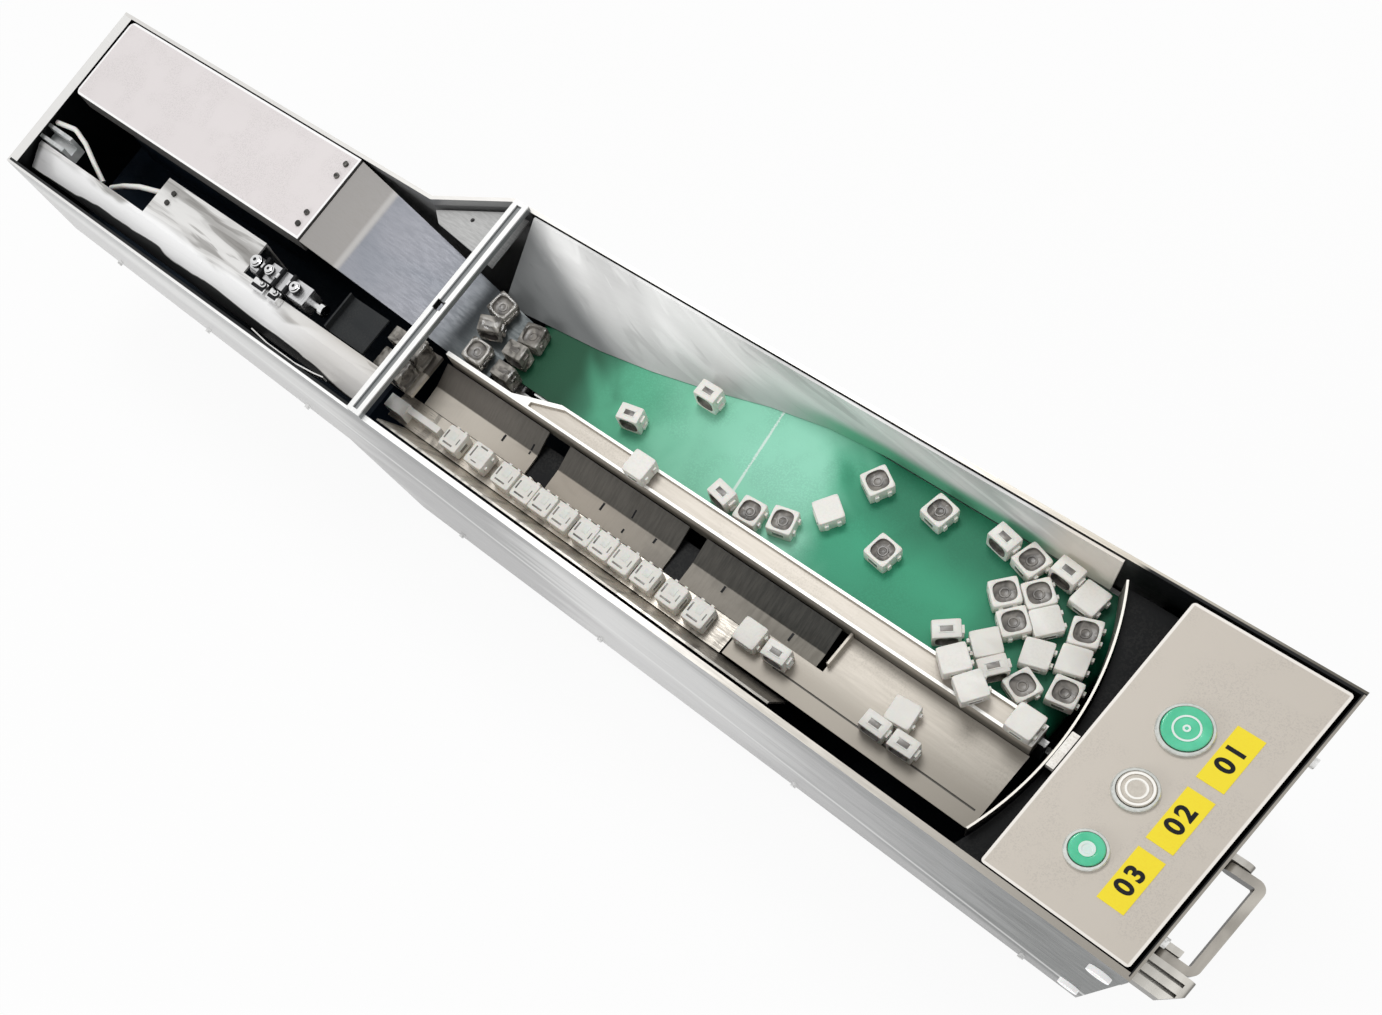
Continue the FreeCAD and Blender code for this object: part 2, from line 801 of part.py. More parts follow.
def outfeed_sheet():
    piece = body("outfeed_sheet")
    over = [
        ("outfeed_near", "rim - outfeed_near_drop"),
        ("outfeed_fold", "rim - outfeed_drop"),
        ("outfeed_far", "rim - outfeed_drop"),
        ("outfeed_far", "rim - outfeed_drop - outfeed_skirt"),
    ]
    under = [
        ("outfeed_near", "rim - outfeed_near_drop - sheet"),
        ("outfeed_fold", "rim - outfeed_drop - sheet"),
        ("outfeed_far - sheet", "rim - outfeed_drop - sheet"),
        ("outfeed_far - sheet", "rim - outfeed_drop - outfeed_skirt"),
    ]
    span = "outfeed_end - outfeed_start"
    pad(piece, "YZ", over + under[::-1], "outfeed_start", span)
    rear = rectangle("0", "outfeed_step", "outfeed_step_y", "outfeed_far + 9")
    pocket(piece, "XY", rear, "rim")
    front = [
        ("outfeed_taper", "outfeed_front_y"),
        ("outfeed_end + 9", "outfeed_front_y"),
        ("outfeed_end + 9", "outfeed_far + 9"),
        ("outfeed_taper", "outfeed_far + 9"),
    ]
    pocket(piece, "XY", front, "rim")
    keep("outfeed_sheet", piece)


def air_block():
    outer = block(
        "block_outer",
        ("air_block_start", "air_block_end"),
        ("air_block_near", "air_block_far"),
        ("rim - air_block_drop - air_block_depth", "rim - air_block_drop"),
    )
    channel = block(
        "block_channel",
        ("air_block_start", "air_block_end"),
        ("air_block_near + 3", "air_block_far - 3"),
        ("rim - air_block_drop - 9", "rim - air_block_drop"),
    )
    keep("air_block", cut("air_block", outer, channel))


def air_tubes():
    """Two tubes, one from the air block and one from the air supply, into the sheet."""
    level = at("rim - air_block_drop") - 2
    first = [(8, 50, 0), (30, 53.5, 0), (46, 49, -3), (60, 41.5, -8), (73, 34.5, -15)]
    second = [(84, 34.5, -15), (100, 40.5, -10), (118, 46.5, -7), (142, 52.5, -6)]
    for route in (first, second):
        points = [Vector(x, y, level + z) for x, y, z in route]
        yield pipe(points, 12, at("tube_radius"))


def keep_air_tubes():
    tubes = feature("air_tubes", Part.makeCompound(list(air_tubes())))
    keep("air_tubes", tubes)


def escapement():
    low, high = "rim - stop_drop - stop_depth", "rim - stop_drop"
    axis_y, axis_z = "(stop_near + stop_far) / 2", f"({low} + {high}) / 2"
    case = block("stop_case", ("stop_start + 18", "stop_end"), ("stop_near", "stop_far"), (low, high))
    barrel = rod(
        "stop_barrel", "x", ("stop_start", axis_y, axis_z), "stop_depth / 2 - 0.4", "18"
    )
    ports = [
        rod("stop_port", "z", (f"stop_start + {x}", axis_y, high), "3", "stop_drop")
        for x in (26, 50)
    ]
    bore = rod(
        "stop_bore",
        "x",
        ("stop_end - 20", axis_y, axis_z),
        "stop_rod + shaft_play",
        "20",
    )
    keep("escapement_body", cut("escapement_body", join("stop_shell", case, barrel, *ports), bore))
    shaft = rod(
        "stop_shaft",
        "x",
        ("stop_end - 12", axis_y, axis_z),
        "stop_rod",
        "12 + stop_reach",
    )
    head = rod(
        "stop_head_disc", "x", ("stop_end + stop_reach - 4", axis_y, axis_z), "stop_head", "4"
    )
    keep("escapement_rod", join("escapement_rod", shaft, head))


def sensor_plate():
    piece = body("sensor_plate")
    plan = rectangle("sensor_start", "sensor_end", "sensor_near", "sensor_far")
    pad(piece, "XY", plan, "rim - sensor_drop - sheet", "sheet")
    lip = rectangle("sensor_start", "sensor_start + sheet", "sensor_near", "sensor_far")
    pad(piece, "XY", lip, "rim - sensor_drop", "5")
    keep("sensor_plate", piece)


def retaining_strap():
    """A springy strap that bows towards the near wall in the gap beside the rim."""
    low = at("rim - 14")
    route = [(302, 7), (322, 5), (352, 5), (370, 7), (379, 8.6)]
    near = rounded_path([Vector(x, y, low) for x, y in route], 12)
    far = rounded_path([Vector(x, y + at("strap_sheet"), low) for x, y in route], 12)
    ends = [
        Part.LineSegment(near.Vertexes[i].Point, far.Vertexes[i].Point).toShape() for i in (0, -1)
    ]
    outline = Part.Wire(Part.__sortEdges__(near.Edges + far.Edges + ends))
    strip = Part.Face(outline).extrude(Vector(0, 0, at("strap_width")))
    keep("retaining_strap", feature("retaining_strap", strip))


def catch_tray():
    """The small tray behind the track, where caps that face the wrong way drop."""
    across = ("sensor_near - 1", "divider_near - 1")
    floor = block(
        "tray_floor",
        ("sensor_end + 3", "tray_end"),
        across,
        ("rim - tray_drop - sheet", "rim - tray_drop"),
    )
    lip = block(
        "tray_front_lip",
        ("tray_end - tray_lip", "tray_end"),
        across,
        ("rim - tray_drop - sheet", "rim - tray_drop + sheet"),
    )
    keep("catch_tray", join("catch_tray", floor, lip))


# Conveyor


def hopper_plate():
    """A polished plate that is upright in front and leans out over the belt at the rear."""
    feet = [("hopper_start", "128"), ("520", "135.5"), ("560", "142"), ("600", "151")]
    feet += [("640", "162"), ("680", "169.5"), ("720", "hopper_foot"), ("hopper_end", "hopper_foot")]
    top, low = "rim - 1.5", "rim - belt_drop + 0.6"
    sections = []
    for x, foot in feet:
        y = at(foot)
        corners = [
            (at("hopper_top - hopper_sheet"), at(top)),
            (at("hopper_top"), at(top)),
            (y + at("hopper_sheet"), at(low)),
            (y, at(low)),
        ]
        points = [Vector(at(x), across, up) for across, up in corners]
        sections.append(Part.makePolygon(points + points[:1]))
    keep("hopper_plate", feature("hopper_plate", Part.makeLoft(sections, True, True)))


def divider_rail():
    piece = body("divider_rail")
    plan = [
        ("divider_start", "divider_near"),
        ("divider_end", "divider_near"),
        ("divider_end", "divider_far"),
        ("divider_wide", "divider_far"),
        ("divider_step", "divider_near + 3"),
        ("divider_start", "divider_near + 3"),
    ]
    pad(piece, "XY", plan, "rim - divider_drop - divider_depth", "divider_depth")
    channel = [
        ("divider_step + 16", "divider_near + divider_lip"),
        ("divider_end - divider_lip", "divider_near + divider_lip"),
        ("divider_end - divider_lip", "divider_far - divider_lip"),
        ("divider_wide + 4", "divider_far - divider_lip"),
        ("divider_step + 16", "divider_near + 5"),
    ]
    pocket(piece, "XY", channel, "rim - divider_drop", "divider_groove")
    keep("divider_rail", piece)


def deflector():
    def sector(name, radius, low, high):
        made = rod(name, "z", ("deflector_x", "deflector_y", low), radius, f"{high} - ({low})")
        made.Placement = Placement(Vector(), Rotation(Vector(0, 0, 1), -at("deflector_from")))
        made.setExpression("Angle", full("deflector_sweep"))
        return made

    low, high = "rim - deflector_low", "rim - deflector_top"
    outer = sector("deflector_outer", "deflector_radius + deflector_sheet", low, high)
    inner = sector("deflector_inner", "deflector_radius", low, high)
    keep("deflector", cut("deflector", outer, inner))
    shelf = block(
        "shelf_plate",
        ("840", "panel_start - 1"),
        ("4", "casing_width - 8"),
        ("rim - shelf_drop - sheet", "rim - shelf_drop"),
    )
    room = rod(
        "shelf_room",
        "z",
        ("deflector_x", "deflector_y", "rim - shelf_drop - sheet"),
        "deflector_radius + deflector_sheet + shelf_gap",
        "sheet",
    )
    keep("front_shelf", cut("front_shelf", shelf, room))
    clip = block(
        "deflector_clip",
        ("deflector_x + deflector_radius + deflector_sheet + 0.4", "panel_start - 1"),
        ("clip_near", "clip_far"),
        ("rim - deflector_top - clip_height", "rim - deflector_top + sheet"),
    )
    keep("deflector_clip", clip)


def conveyor():
    level = f"rim - ({ROLLER_DROP})"
    keep(
        "belt",
        loop(
            "belt",
            ("roller_rear", level),
            ("roller_front", level),
            ("belt_near", "belt_far"),
            "loop_radius",
            "belt_sheet",
        ),
    )
    bed_top = "rim - belt_drop - belt_sheet - 0.1"
    bed = block(
        "belt_bed",
        ("bed_start", "bed_end"),
        ("divider_far", "frame_far"),
        (f"{bed_top} - wall", bed_top),
    )
    keep("belt_bed", bed)
    frames = []
    for near in ("frame_near", "frame_far"):
        piece = body("conveyor_frame")
        side = rectangle("roller_rear - 20", "roller_front + 18", "rim - frame_low", "rim - frame_top")
        seats = [(x, level, "bearing_radius") for x in ("roller_rear", "roller_front")]
        pad(piece, "XZ", side, near, "frame_sheet", seats)
        frames.append(piece)
    keep("conveyor_frames", group("conveyor_frames", *frames))
    bearings = [
        ring("bearing", "y", (x, near, level), "bearing_radius", "shaft_radius + shaft_play", "frame_sheet")
        for x in ("roller_rear", "roller_front")
        for near in ("frame_near", "frame_far")
    ]
    keep("roller_bearings", group("roller_bearings", *bearings))
    far_end = "frame_far + frame_sheet"
    for label, x, near_end in (
        ("idler_roller", "roller_rear", "frame_near"),
        ("drive_roller", "roller_front", "pulley_near"),
    ):
        between = "belt_far - belt_near - 2"
        reach = f"{far_end} - {near_end}"
        drum = rod(label + "_drum", "y", (x, "belt_near + 1", level), "roller_radius", between)
        shaft = rod(label + "_shaft", "y", (x, near_end, level), "shaft_radius", reach)
        keep(label, join(label, drum, shaft))


def pulley(name, x, z):
    """A flanged pulley as a solid disc; its bore is cut where it sits on a shaft."""
    rims = [
        rod(name + "_rim", "y", (x, near, z), "pulley_flange", "0.6")
        for near in ("pulley_near", "pulley_near + pulley_width - 0.6")
    ]
    hub = rod(name + "_hub", "y", (x, "pulley_near", z), "pulley_radius", "pulley_width")
    return join(name, hub, *rims)


def drive():
    level, low = f"rim - ({ROLLER_DROP})", "rim - motor_drop"
    solid = pulley("pulley_solid", "roller_front", level)
    bore = rod("pulley_bore", "y", ("roller_front", "pulley_near", level), "shaft_radius", "pulley_width")
    keep("drive_pulley", cut("drive_pulley", solid, bore))
    wheel = pulley("motor_wheel", "roller_front", low)
    reach = "gearbox_near + motor_shaft_reach - pulley_near"
    shaft = rod("motor_shaft", "y", ("roller_front", "pulley_near", low), "shaft_radius", reach)
    keep("motor_pulley", join("motor_pulley", wheel, shaft))
    keep(
        "toothed_belt",
        loop(
            "toothed_belt",
            ("roller_front", low),
            ("roller_front", level),
            ("pulley_near + 1", "pulley_near + pulley_width - 1"),
            "drive_belt_radius",
            "drive_belt_sheet",
        ),
    )
    half = "gearbox_side / 2"
    gearbox = block(
        "gearbox",
        (f"roller_front - {half}", f"roller_front + {half}"),
        ("gearbox_near", "gearbox_near + gearbox_length"),
        (f"{low} - {half}", f"{low} + {half}"),
    )
    start = ("roller_front", "gearbox_near + gearbox_length", low)
    motor = rod("motor", "y", start, "motor_radius", "motor_length")
    socket = rod(
        "gearbox_socket",
        "y",
        ("roller_front", "gearbox_near", low),
        "shaft_radius + shaft_play",
        "motor_shaft_reach",
    )
    keep("gearmotor", cut("gearmotor", join("gearmotor_shell", gearbox, motor), socket))
    bracket = body("motor_bracket")
    rear, front = f"roller_front - {half}", f"roller_front + {half}"
    face = rectangle(rear, front, "foot + wall", f"{low} + {half}")
    pad(bracket, "XZ", face, "gearbox_near - 4", "4", [("roller_front", low, "shaft_radius + 2")])
    foot = rectangle(rear, front, "gearbox_near", "gearbox_near + 44")
    pad(bracket, "XY", foot, "foot + wall", "4")
    keep("motor_bracket", bracket)


# Vibrating track


def return_plate():
    piece = body("return_plate")
    plan = [
        ("plate_tongue", "plate_near"),
        ("plate_end", "plate_near"),
        ("plate_end", "plate_far"),
        ("plate_start", "plate_far"),
        ("plate_start", "plate_tongue_far"),
        ("plate_tongue", "plate_tongue_far"),
    ]
    pad(piece, "XY", plan, "rim - plate_drop - wall", "wall")
    flange = rectangle("plate_start", "plate_start + sheet", "plate_tongue_far + 4", "plate_far")
    pad(piece, "XY", flange, "rim - plate_drop", "plate_flange")
    groove = rectangle(
        "plate_tongue + 30",
        "plate_end - 4",
        "plate_groove_y - plate_groove",
        "plate_groove_y",
    )
    pocket(piece, "XY", groove, "rim - plate_drop", "wall / 2")
    keep("return_plate", piece)


def track():
    lane = block(
        "track_lane",
        ("lane_start", "lane_end"),
        ("lane_near", "lane_far"),
        ("rim - lane_drop - wall", "rim - lane_drop"),
    )
    keep("track_lane", lane)
    guide = body("track_guide")
    leaning = [
        ("lane_near - sheet - 0.2", "rim - lane_drop - wall"),
        ("lane_near - 0.2", "rim - lane_drop - wall"),
        ("guide_top_y + sheet", "rim - guide_drop"),
        ("guide_top_y", "rim - guide_drop"),
    ]
    pad(guide, "YZ", leaning, "guide_start", "guide_end - guide_start")
    keep("track_guide", guide)
    stop_block = block(
        "stop_block",
        ("lane_start", "lane_block_end"),
        ("lane_block_near", "lane_block_far"),
        ("rim - lane_drop", "rim - lane_block_drop"),
    )
    stop_bar = block(
        "stop_bar",
        ("lane_start + 1", "lane_bar_end"),
        ("lane_bar_near", "lane_bar_far"),
        ("rim - lane_drop", "rim - lane_bar_drop"),
    )
    keep("lane_stop", join("lane_stop", stop_block, stop_bar))
    over = [
        ("lane_far + 0.4", "rim - lane_drop"),
        ("segment_fold_y", "rim - segment_fold_drop"),
        ("segment_far", "rim - segment_far_drop"),
    ]
    under = [(y, f"{z} - sheet") for y, z in over]
    segments = []
    lengths = {
        "segment_first": "segment_second - segment_gap - segment_first",
        "segment_second": "segment_length",
        "segment_third": "segment_length",
    }
    for start, length in lengths.items():
        segment = body("track_segment")
        pad(segment, "YZ", over + under[::-1], start, length)
        segments.append(segment)
    keep("track_segments", group("track_segments", *segments))
    beam_top = "rim - lane_drop - wall"
    beam = block(
        "beam_bar",
        ("beam_start", "beam_end"),
        ("beam_near", "beam_far"),
        (f"{beam_top} - beam_depth", beam_top),
    )
    under_beam = f"{beam_top} - beam_depth"
    armature = block(
        "armature",
        ("magnet_x - magnet_side / 2", "magnet_x + magnet_side / 2"),
        ("beam_near + 10", "beam_far - 10"),
        (f"{under_beam} - armature_depth", under_beam),
    )
    keep("track_beam", join("track_beam", beam, armature))
    magnet = block(
        "magnet_coil",
        ("magnet_x - magnet_side / 2", "magnet_x + magnet_side / 2"),
        ("beam_near + 6", "beam_far - 6"),
        ("rim - base_drop", f"{under_beam} - armature_depth - magnet_gap"),
    )
    keep("magnet_coil", magnet)
    springs = []
    for x in ("spring_rear", "spring_front"):
        spring = body("leaf_spring")
        leaning = [
            (f"{x} - spring_lean", "rim - base_drop"),
            (f"{x} - spring_lean + spring_sheet", "rim - base_drop"),
            (f"{x} + spring_sheet", under_beam),
            (x, under_beam),
        ]
        pad(spring, "XZ", leaning, "beam_near + 6", "beam_far - beam_near - 12")
        springs.append(spring)
    keep("leaf_springs", group("leaf_springs", *springs))
    base = block(
        "vibrator_base",
        ("base_start", "base_end"),
        ("beam_near + 4", "beam_far - 4"),
        ("rim - base_drop - base_depth", "rim - base_drop"),
    )
    keep("vibrator_base", base)
    cushions = []
    for x in ("base_start + 20", "base_end - 20"):
        start = (x, "(beam_near + beam_far) / 2", "foot + wall")
        height = "rim - base_drop - base_depth - foot - wall"
        cushions.append(rod("cushion", "z", start, "cushion_radius", height))
    keep("rubber_cushions", group("rubber_cushions", *cushions))


# Front end


def control_panel():
    piece = body("control_panel")
    plan = rectangle("panel_start", "panel_end", "panel_gap", "casing_width - panel_gap")
    pad(piece, "XY", plan, "rim + panel_proud - panel_skirt", "panel_skirt")
    round_edges(piece, "panel_corner", upright)
    inside = rectangle(
        "panel_start + sheet",
        "panel_end - sheet",
        "panel_gap + sheet",
        "casing_width - panel_gap - sheet",
    )
    pocket(piece, "XY", inside, "rim + panel_proud - sheet", "panel_skirt")
    holes = [
        ("button_x", f"button_{name}_y", f"button_{name}_radius - button_bezel_rim")
        for name in ("start", "stop", "reset")
    ]
    pocket(piece, "XY", (), "rim + panel_proud", None, holes)
    keep("control_panel", piece)


def buttons():
    panel = "rim + panel_proud"
    bezels, cups = [], []
    for name in ("start", "stop", "reset"):
        y, outer = f"button_{name}_y", f"button_{name}_radius"
        inner = f"{outer} - button_bezel_rim"
        bezel = ring(f"bezel_{name}", "z", ("button_x", y, panel), outer, inner, "button_bezel_height")
        bezels.append(bezel)
        cap = rod(
            f"cap_{name}",
            "z",
            ("button_x", y, f"{panel} - 5"),
            f"{inner} - button_play",
            "button_cap_proud + 5",
        )
        keep(f"button_{name}", cap)
        under = f"{panel} - sheet"
        cup = rod(
            f"cup_{name}",
            "z",
            ("button_x", y, f"{under} - button_body_depth"),
            f"{inner} + 2",
            "button_body_depth",
        )
        room = rod(
            f"cup_room_{name}", "z", ("button_x", y, f"{under} - 10"), inner, "10"
        )
        cups.append(cut(f"contact_{name}", cup, room))
    keep("button_bezels", group("button_bezels", *bezels))
    keep("button_contacts", group("button_contacts", *cups))
    tapes = [
        block(
            "label",
            ("label_start", "label_start + label_width"),
            (f"label_{name}_y - label_length / 2", f"label_{name}_y + label_length / 2"),
            (panel, f"{panel} + label_thickness"),
        )
        for name in ("start", "stop", "reset")
    ]
    keep("labels", group("labels", *tapes))


def across(edge):
    """A straight edge that runs along y."""
    ends = [v.Point for v in edge.Vertexes]
    return len(ends) == 2 and abs(ends[0].x - ends[1].x) < 0.01 and abs(ends[0].z - ends[1].z) < 0.01


def across_tip(edge, tip):
    """An edge along y at the outer end of a bracket."""
    return across(edge) and abs(edge.Vertexes[0].X - tip) < 0.01


def handle():
    level, tip = "rim - handle_drop", "casing_length + handle_reach"
    pivot = "casing_length + handle_pivot"
    low, high = f"{level} - bracket_height / 2", f"{level} + bracket_height / 2"
    plate_end, far_end = "casing_length + bracket_sheet", "bracket_near + bracket_width"
    near = body("near_bracket")
    outline = [
        ("casing_length", "bracket_near"),
        (f"{tip} - 9", "bracket_near"),
        (tip, "bracket_near + 9"),
        (tip, far_end),
        ("casing_length", far_end),
    ]
    pad(near, "XY", outline, low, "bracket_height")
    outer = at(tip)
    round_edges(near, "bracket_height / 3", lambda e: across_tip(e, outer))
    plate = rectangle("bracket_near - 3", f"{far_end} + 3", f"{low} - 4", f"{high} + 4")
    pad(near, "YZ", plate, "casing_length", "bracket_sheet")
    for start in ("bracket_near + 5", "bracket_near + 11.5"):
        slit = rectangle(plate_end, f"{tip} - 4", start, f"{start} + bracket_groove")
        pocket(near, "XY", slit, high, "bracket_height / 2")
    room = rectangle(plate_end, tip, "handle_near - 0.3", "handle_near + handle_strip + 0.3")
    pocket(near, "XY", room, high)
    clear = rectangle(f"{pivot} + 6", tip, "handle_near - 0.3", far_end)
    pocket(near, "XY", clear, high)
    bore = [(pivot, level, "handle_pin + shaft_play")]
    pocket(near, "XZ", (), "handle_near - 4", None, bore)
    far = body("far_bracket")
    lug = f"{pivot} + bracket_height / 2"
    arm = rectangle("casing_length", lug, "bracket_far", "bracket_far + bracket_arm")
    pad(far, "XY", arm, low, "bracket_height")
    lug_end = at(lug)
    round_edges(far, "bracket_height / 3", lambda e: across_tip(e, lug_end))
    foot = rectangle("bracket_far", "bracket_far + 14", f"{low} - 4", f"{high} + 4")
    pad(far, "YZ", foot, "casing_length", "bracket_sheet")
    pocket(far, "XZ", (), "0", None, bore)
    keep("handle_brackets", group("handle_brackets", near, far))
    bail = body("bail_bar")
    grip = f"{pivot} + handle_arm + handle_strip / 2"
    inner_grip = f"{grip} - handle_strip"
    root = f"{pivot} - handle_flat / 2"
    inner_near, inner_far = "handle_near + handle_strip", "handle_far - handle_strip"
    bow = [
        (root, "handle_near"),
        (grip, "handle_near"),
        (grip, "handle_far"),
        (root, "handle_far"),
        (root, inner_far),
        (inner_grip, inner_far),
        (inner_grip, inner_near),
        (root, inner_near),
    ]
    pad(bail, "XY", bow, f"{level} - handle_flat / 2", "handle_flat")
    corner, inner_corner, end = at(grip), at(inner_grip), at(root)
    round_edges(bail, "handle_bend", lambda e: upright(e) and abs(e.Vertexes[0].X - corner) < 0.01)
    round_edges(
        bail,
        "handle_bend - handle_strip",
        lambda e: upright(e) and abs(e.Vertexes[0].X - inner_corner) < 0.01,
    )
    round_edges(
        bail,
        "handle_flat / 2 - 0.2",
        lambda e: across(e) and abs(e.Vertexes[0].X - end) < 0.01,
    )
    pins = [
        rod(
            "near_pin",
            "y",
            (pivot, "handle_near - 3.8", level),
            "handle_pin",
            f"{far_end} - handle_near + 3.6",
        ),
        rod("far_pin", "y", (pivot, inner_far, level), "handle_pin", "handle_strip + bracket_arm"),
    ]
    keep("handle_bail", join("handle_bail", bail, *pins))


# Caps: square closures with a round recess on top and two pegs on one side


def cap_shape():
    piece = body("cap_pattern")
    pad(piece, "XY", rectangle("0", "cap_side", "0", "cap_side"), "0", "cap_height")
    round_edges(piece, "cap_corner", upright)
    centre = [("cap_side / 2", "cap_side / 2", "cap_recess")]
    pocket(piece, "XY", (), "cap_height", "cap_recess_depth", centre)
    for near in ("cap_side / 2 - 5", "cap_side / 2 + 2.6"):
        peg = rectangle("cap_side - 1", "cap_side + cap_peg", near, f"{near} + 2.4")
        pad(piece, "XY", peg, "3", "5")
    centred = piece.Shape.copy()
    centred.translate(Vector(at("cap_side"), at("cap_side"), at("cap_height")) * -0.5)
    return centred


def laid(cap, x, y, level, yaw, lay):
    """A copy of the cap on a level: face up, face down, or on its side."""
    half = at("cap_height") / 2
    turns = {
        "up": (Rotation(), half),
        "down": (Rotation(Vector(1, 0, 0), 180), half),
        "side": (Rotation(Vector(1, 0, 0), 90), at("cap_side") / 2),
    }
    turn, lift = turns[lay]
    spin = Rotation(Vector(0, 0, 1), yaw) * turn
    copy = cap.copy()
    copy.Placement = Placement(Vector(x, y, level + lift + REST_GAP), spin) * cap.Placement
    return copy


def on_chute(cap, x, y, yaw, lay):
    """A copy of the cap on the chute's lower facet."""
    run, fall = at("chute_foot_x - chute_bend_x"), at("chute_foot_drop - chute_bend_drop")
    tilt = Rotation(Vector(0, 1, 0), math.degrees(math.atan2(fall, run)))
    level = at("rim - chute_bend_drop") - fall * (x - at("chute_bend_x")) / run
    flat = laid(cap, 0, 0, 0, yaw, lay)
    flat.Placement = Placement(Vector(x, y, level), tilt) * flat.Placement
    return flat


REST_GAP = 0.05
ON_BELT = [
    (574, 107, 12, "side"), (607, 145, 0, "side"), (727, 154, -30, "up"), (767, 158, -12, "up"),
    (715, 124, -35, "down"), (756, 121, -8, "up"), (657, 97, -10, "side"), (677, 98, 4, "up"),
    (697, 104, 14, "up"), (806.3, 162.5, -12, "side"), (824.9, 161, -17, "up"),
    (844.4, 164.7, -6, "side"), (861.9, 159.6, -5, "down"), (824.6, 137.9, -42, "up"),
    (839.4, 147.1, 51, "up"), (851.9, 136.4, 49, "down"), (838.5, 126.5, -40, "up"),
    (871.5, 142.3, 21, "up"), (813.6, 101.5, 39, "side"), (834.3, 108.6, -132, "down"),
    (858.9, 118.5, 19, "down"), (845.6, 98.4, 51, "side"), (863.6, 99.6, -23, "up"),
    (875.9, 126, 17, "down"), (882.8, 109, 11, "up"),
    (477, 101, 4, "side"), (477, 117, 10, "up"), (480, 85, 0, "side"),
]
ON_HEAP = [(828.8, 87, 51, "down"), (845, 79.6, 55, "down")]
ON_CHUTE = [(452, 86.5, 2, "up"), (449, 105, 24, "side"), (446, 121, -8, "up")]
ON_RAIL = [(607, 80.2, 0, "down"), (878, 80.2, 0, "down")]
ON_PLATE = [
    (823, 51, 6, "down"), (816, 36, 0, "side"), (835, 36, 2, "side"),
    (725, 38, 0, "down"), (746, 37, 3, "side"),
]
LANE_Y = 31
ON_LANE = [475, 492, 508, 525, 543, 559.5, 577, 596, 612.5, 629.5, 648, 669, 690]
ON_TRAY = [
    (401.3, 64, 0, "side"),
    (401.3, 47, 180, "down"),
    (417.7, 63, 90, "side"),
    (417.7, 45.2, 90, "side"),
]


def caps():
    cap = cap_shape()
    beds = (
        ("rim - belt_drop", ON_BELT),
        ("rim - divider_drop", ON_RAIL),
        ("rim - divider_drop + heap_rise", ON_HEAP),
        ("rim - plate_drop", ON_PLATE),
        ("rim - tray_drop", ON_TRAY),
    )
    loose = [
        laid(cap, x, y, at(level), yaw, lay)
        for level, places in beds
        for x, y, yaw, lay in places
    ]
    loose += [on_chute(cap, *place) for place in ON_CHUTE]
    keep("loose_caps", feature("loose_caps", Part.makeCompound(loose)))
    row = [laid(cap, x, LANE_Y, at("rim - lane_drop"), 90, "down") for x in ON_LANE]
    keep("queued_caps", feature("queued_caps", Part.makeCompound(row)))


near_wall()
far_wall()
end_walls()
floor_pan()
gusset_plate()
cross_bar()
rubber_feet()
casing_screws()
side_grommets()
power_inlet()
rear_cover()
chute()
controller()
outfeed_sheet()
air_block()
keep_air_tubes()
escapement()
sensor_plate()
retaining_strap()
catch_tray()
hopper_plate()
divider_rail()
deflector()
conveyor()
drive()
return_plate()
track()
control_panel()
buttons()
handle()
caps()
doc.recompute()

for item in doc.Objects:
    if {"Invalid", "Error"} & set(item.State):
        raise RuntimeError(f"{item.Name} failed: {item.State}")
    if item.TypeId == "PartDesign::Pocket":
        if item.Shape.Volume > item.BaseFeature.Shape.Volume - 0.1:
            raise RuntimeError(f"{item.Name} cuts nothing")
for piece in subparts:
    if piece.Shape.isNull() or not piece.Shape.isValid():
        raise RuntimeError(f"{piece.Label} has a bad shape")

os.makedirs("parts", exist_ok=True)
for piece in subparts:
    piece.Shape.exportStep(os.path.join("parts", piece.Label + ".step"))
print(len(subparts), "sub-parts")
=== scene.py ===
# %% [markdown]
# # A linear feeder for small square caps
# A long open box of folded stainless sheet holds a green conveyor belt, a vibrating track beside it,
# and a covered arm behind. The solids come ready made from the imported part, which is the fixed frame.
# This script gives every one of them its finish, and swaps the plain caps and buttons for finer ones.

# %% Load the frame
import math

import bmesh
import bpy
from mathutils import Matrix, Vector


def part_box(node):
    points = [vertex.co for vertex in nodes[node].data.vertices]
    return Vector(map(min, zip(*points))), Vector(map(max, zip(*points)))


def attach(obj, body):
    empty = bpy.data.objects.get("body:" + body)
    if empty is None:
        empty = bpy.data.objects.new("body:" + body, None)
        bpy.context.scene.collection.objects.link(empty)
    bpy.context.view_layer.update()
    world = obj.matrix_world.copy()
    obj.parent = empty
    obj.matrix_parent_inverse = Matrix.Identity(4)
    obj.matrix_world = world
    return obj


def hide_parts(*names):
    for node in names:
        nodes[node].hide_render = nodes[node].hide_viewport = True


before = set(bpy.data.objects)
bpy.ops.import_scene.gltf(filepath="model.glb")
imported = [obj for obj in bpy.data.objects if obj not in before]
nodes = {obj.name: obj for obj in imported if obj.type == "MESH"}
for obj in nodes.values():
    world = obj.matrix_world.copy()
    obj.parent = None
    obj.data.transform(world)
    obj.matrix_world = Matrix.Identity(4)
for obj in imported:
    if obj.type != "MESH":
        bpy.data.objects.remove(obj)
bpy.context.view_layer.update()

# %% [markdown]
# ## Where things are
# Every length in this lesson is a millimetre on the casing: x from its rear face, y from its near face,
# and drop below its rim. The near wall's own box gives that corner, so nothing here is fitted by eye.

# %% Casing coordinates
MM = 0.001
wall_low, wall_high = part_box("near_wall")
RIM_CORNER = Vector((wall_low.x, wall_low.y, wall_high.z))


def spot(x, y, drop=0):
    """A point on the casing, in metres in the frame."""
    return RIM_CORNER + Vector((x, y, -drop)) * MM


def placed(name, data):
    """A new object with that data, in the scene."""
    made = bpy.data.objects.new(name, data)
    bpy.context.scene.collection.objects.link(made)
    return made


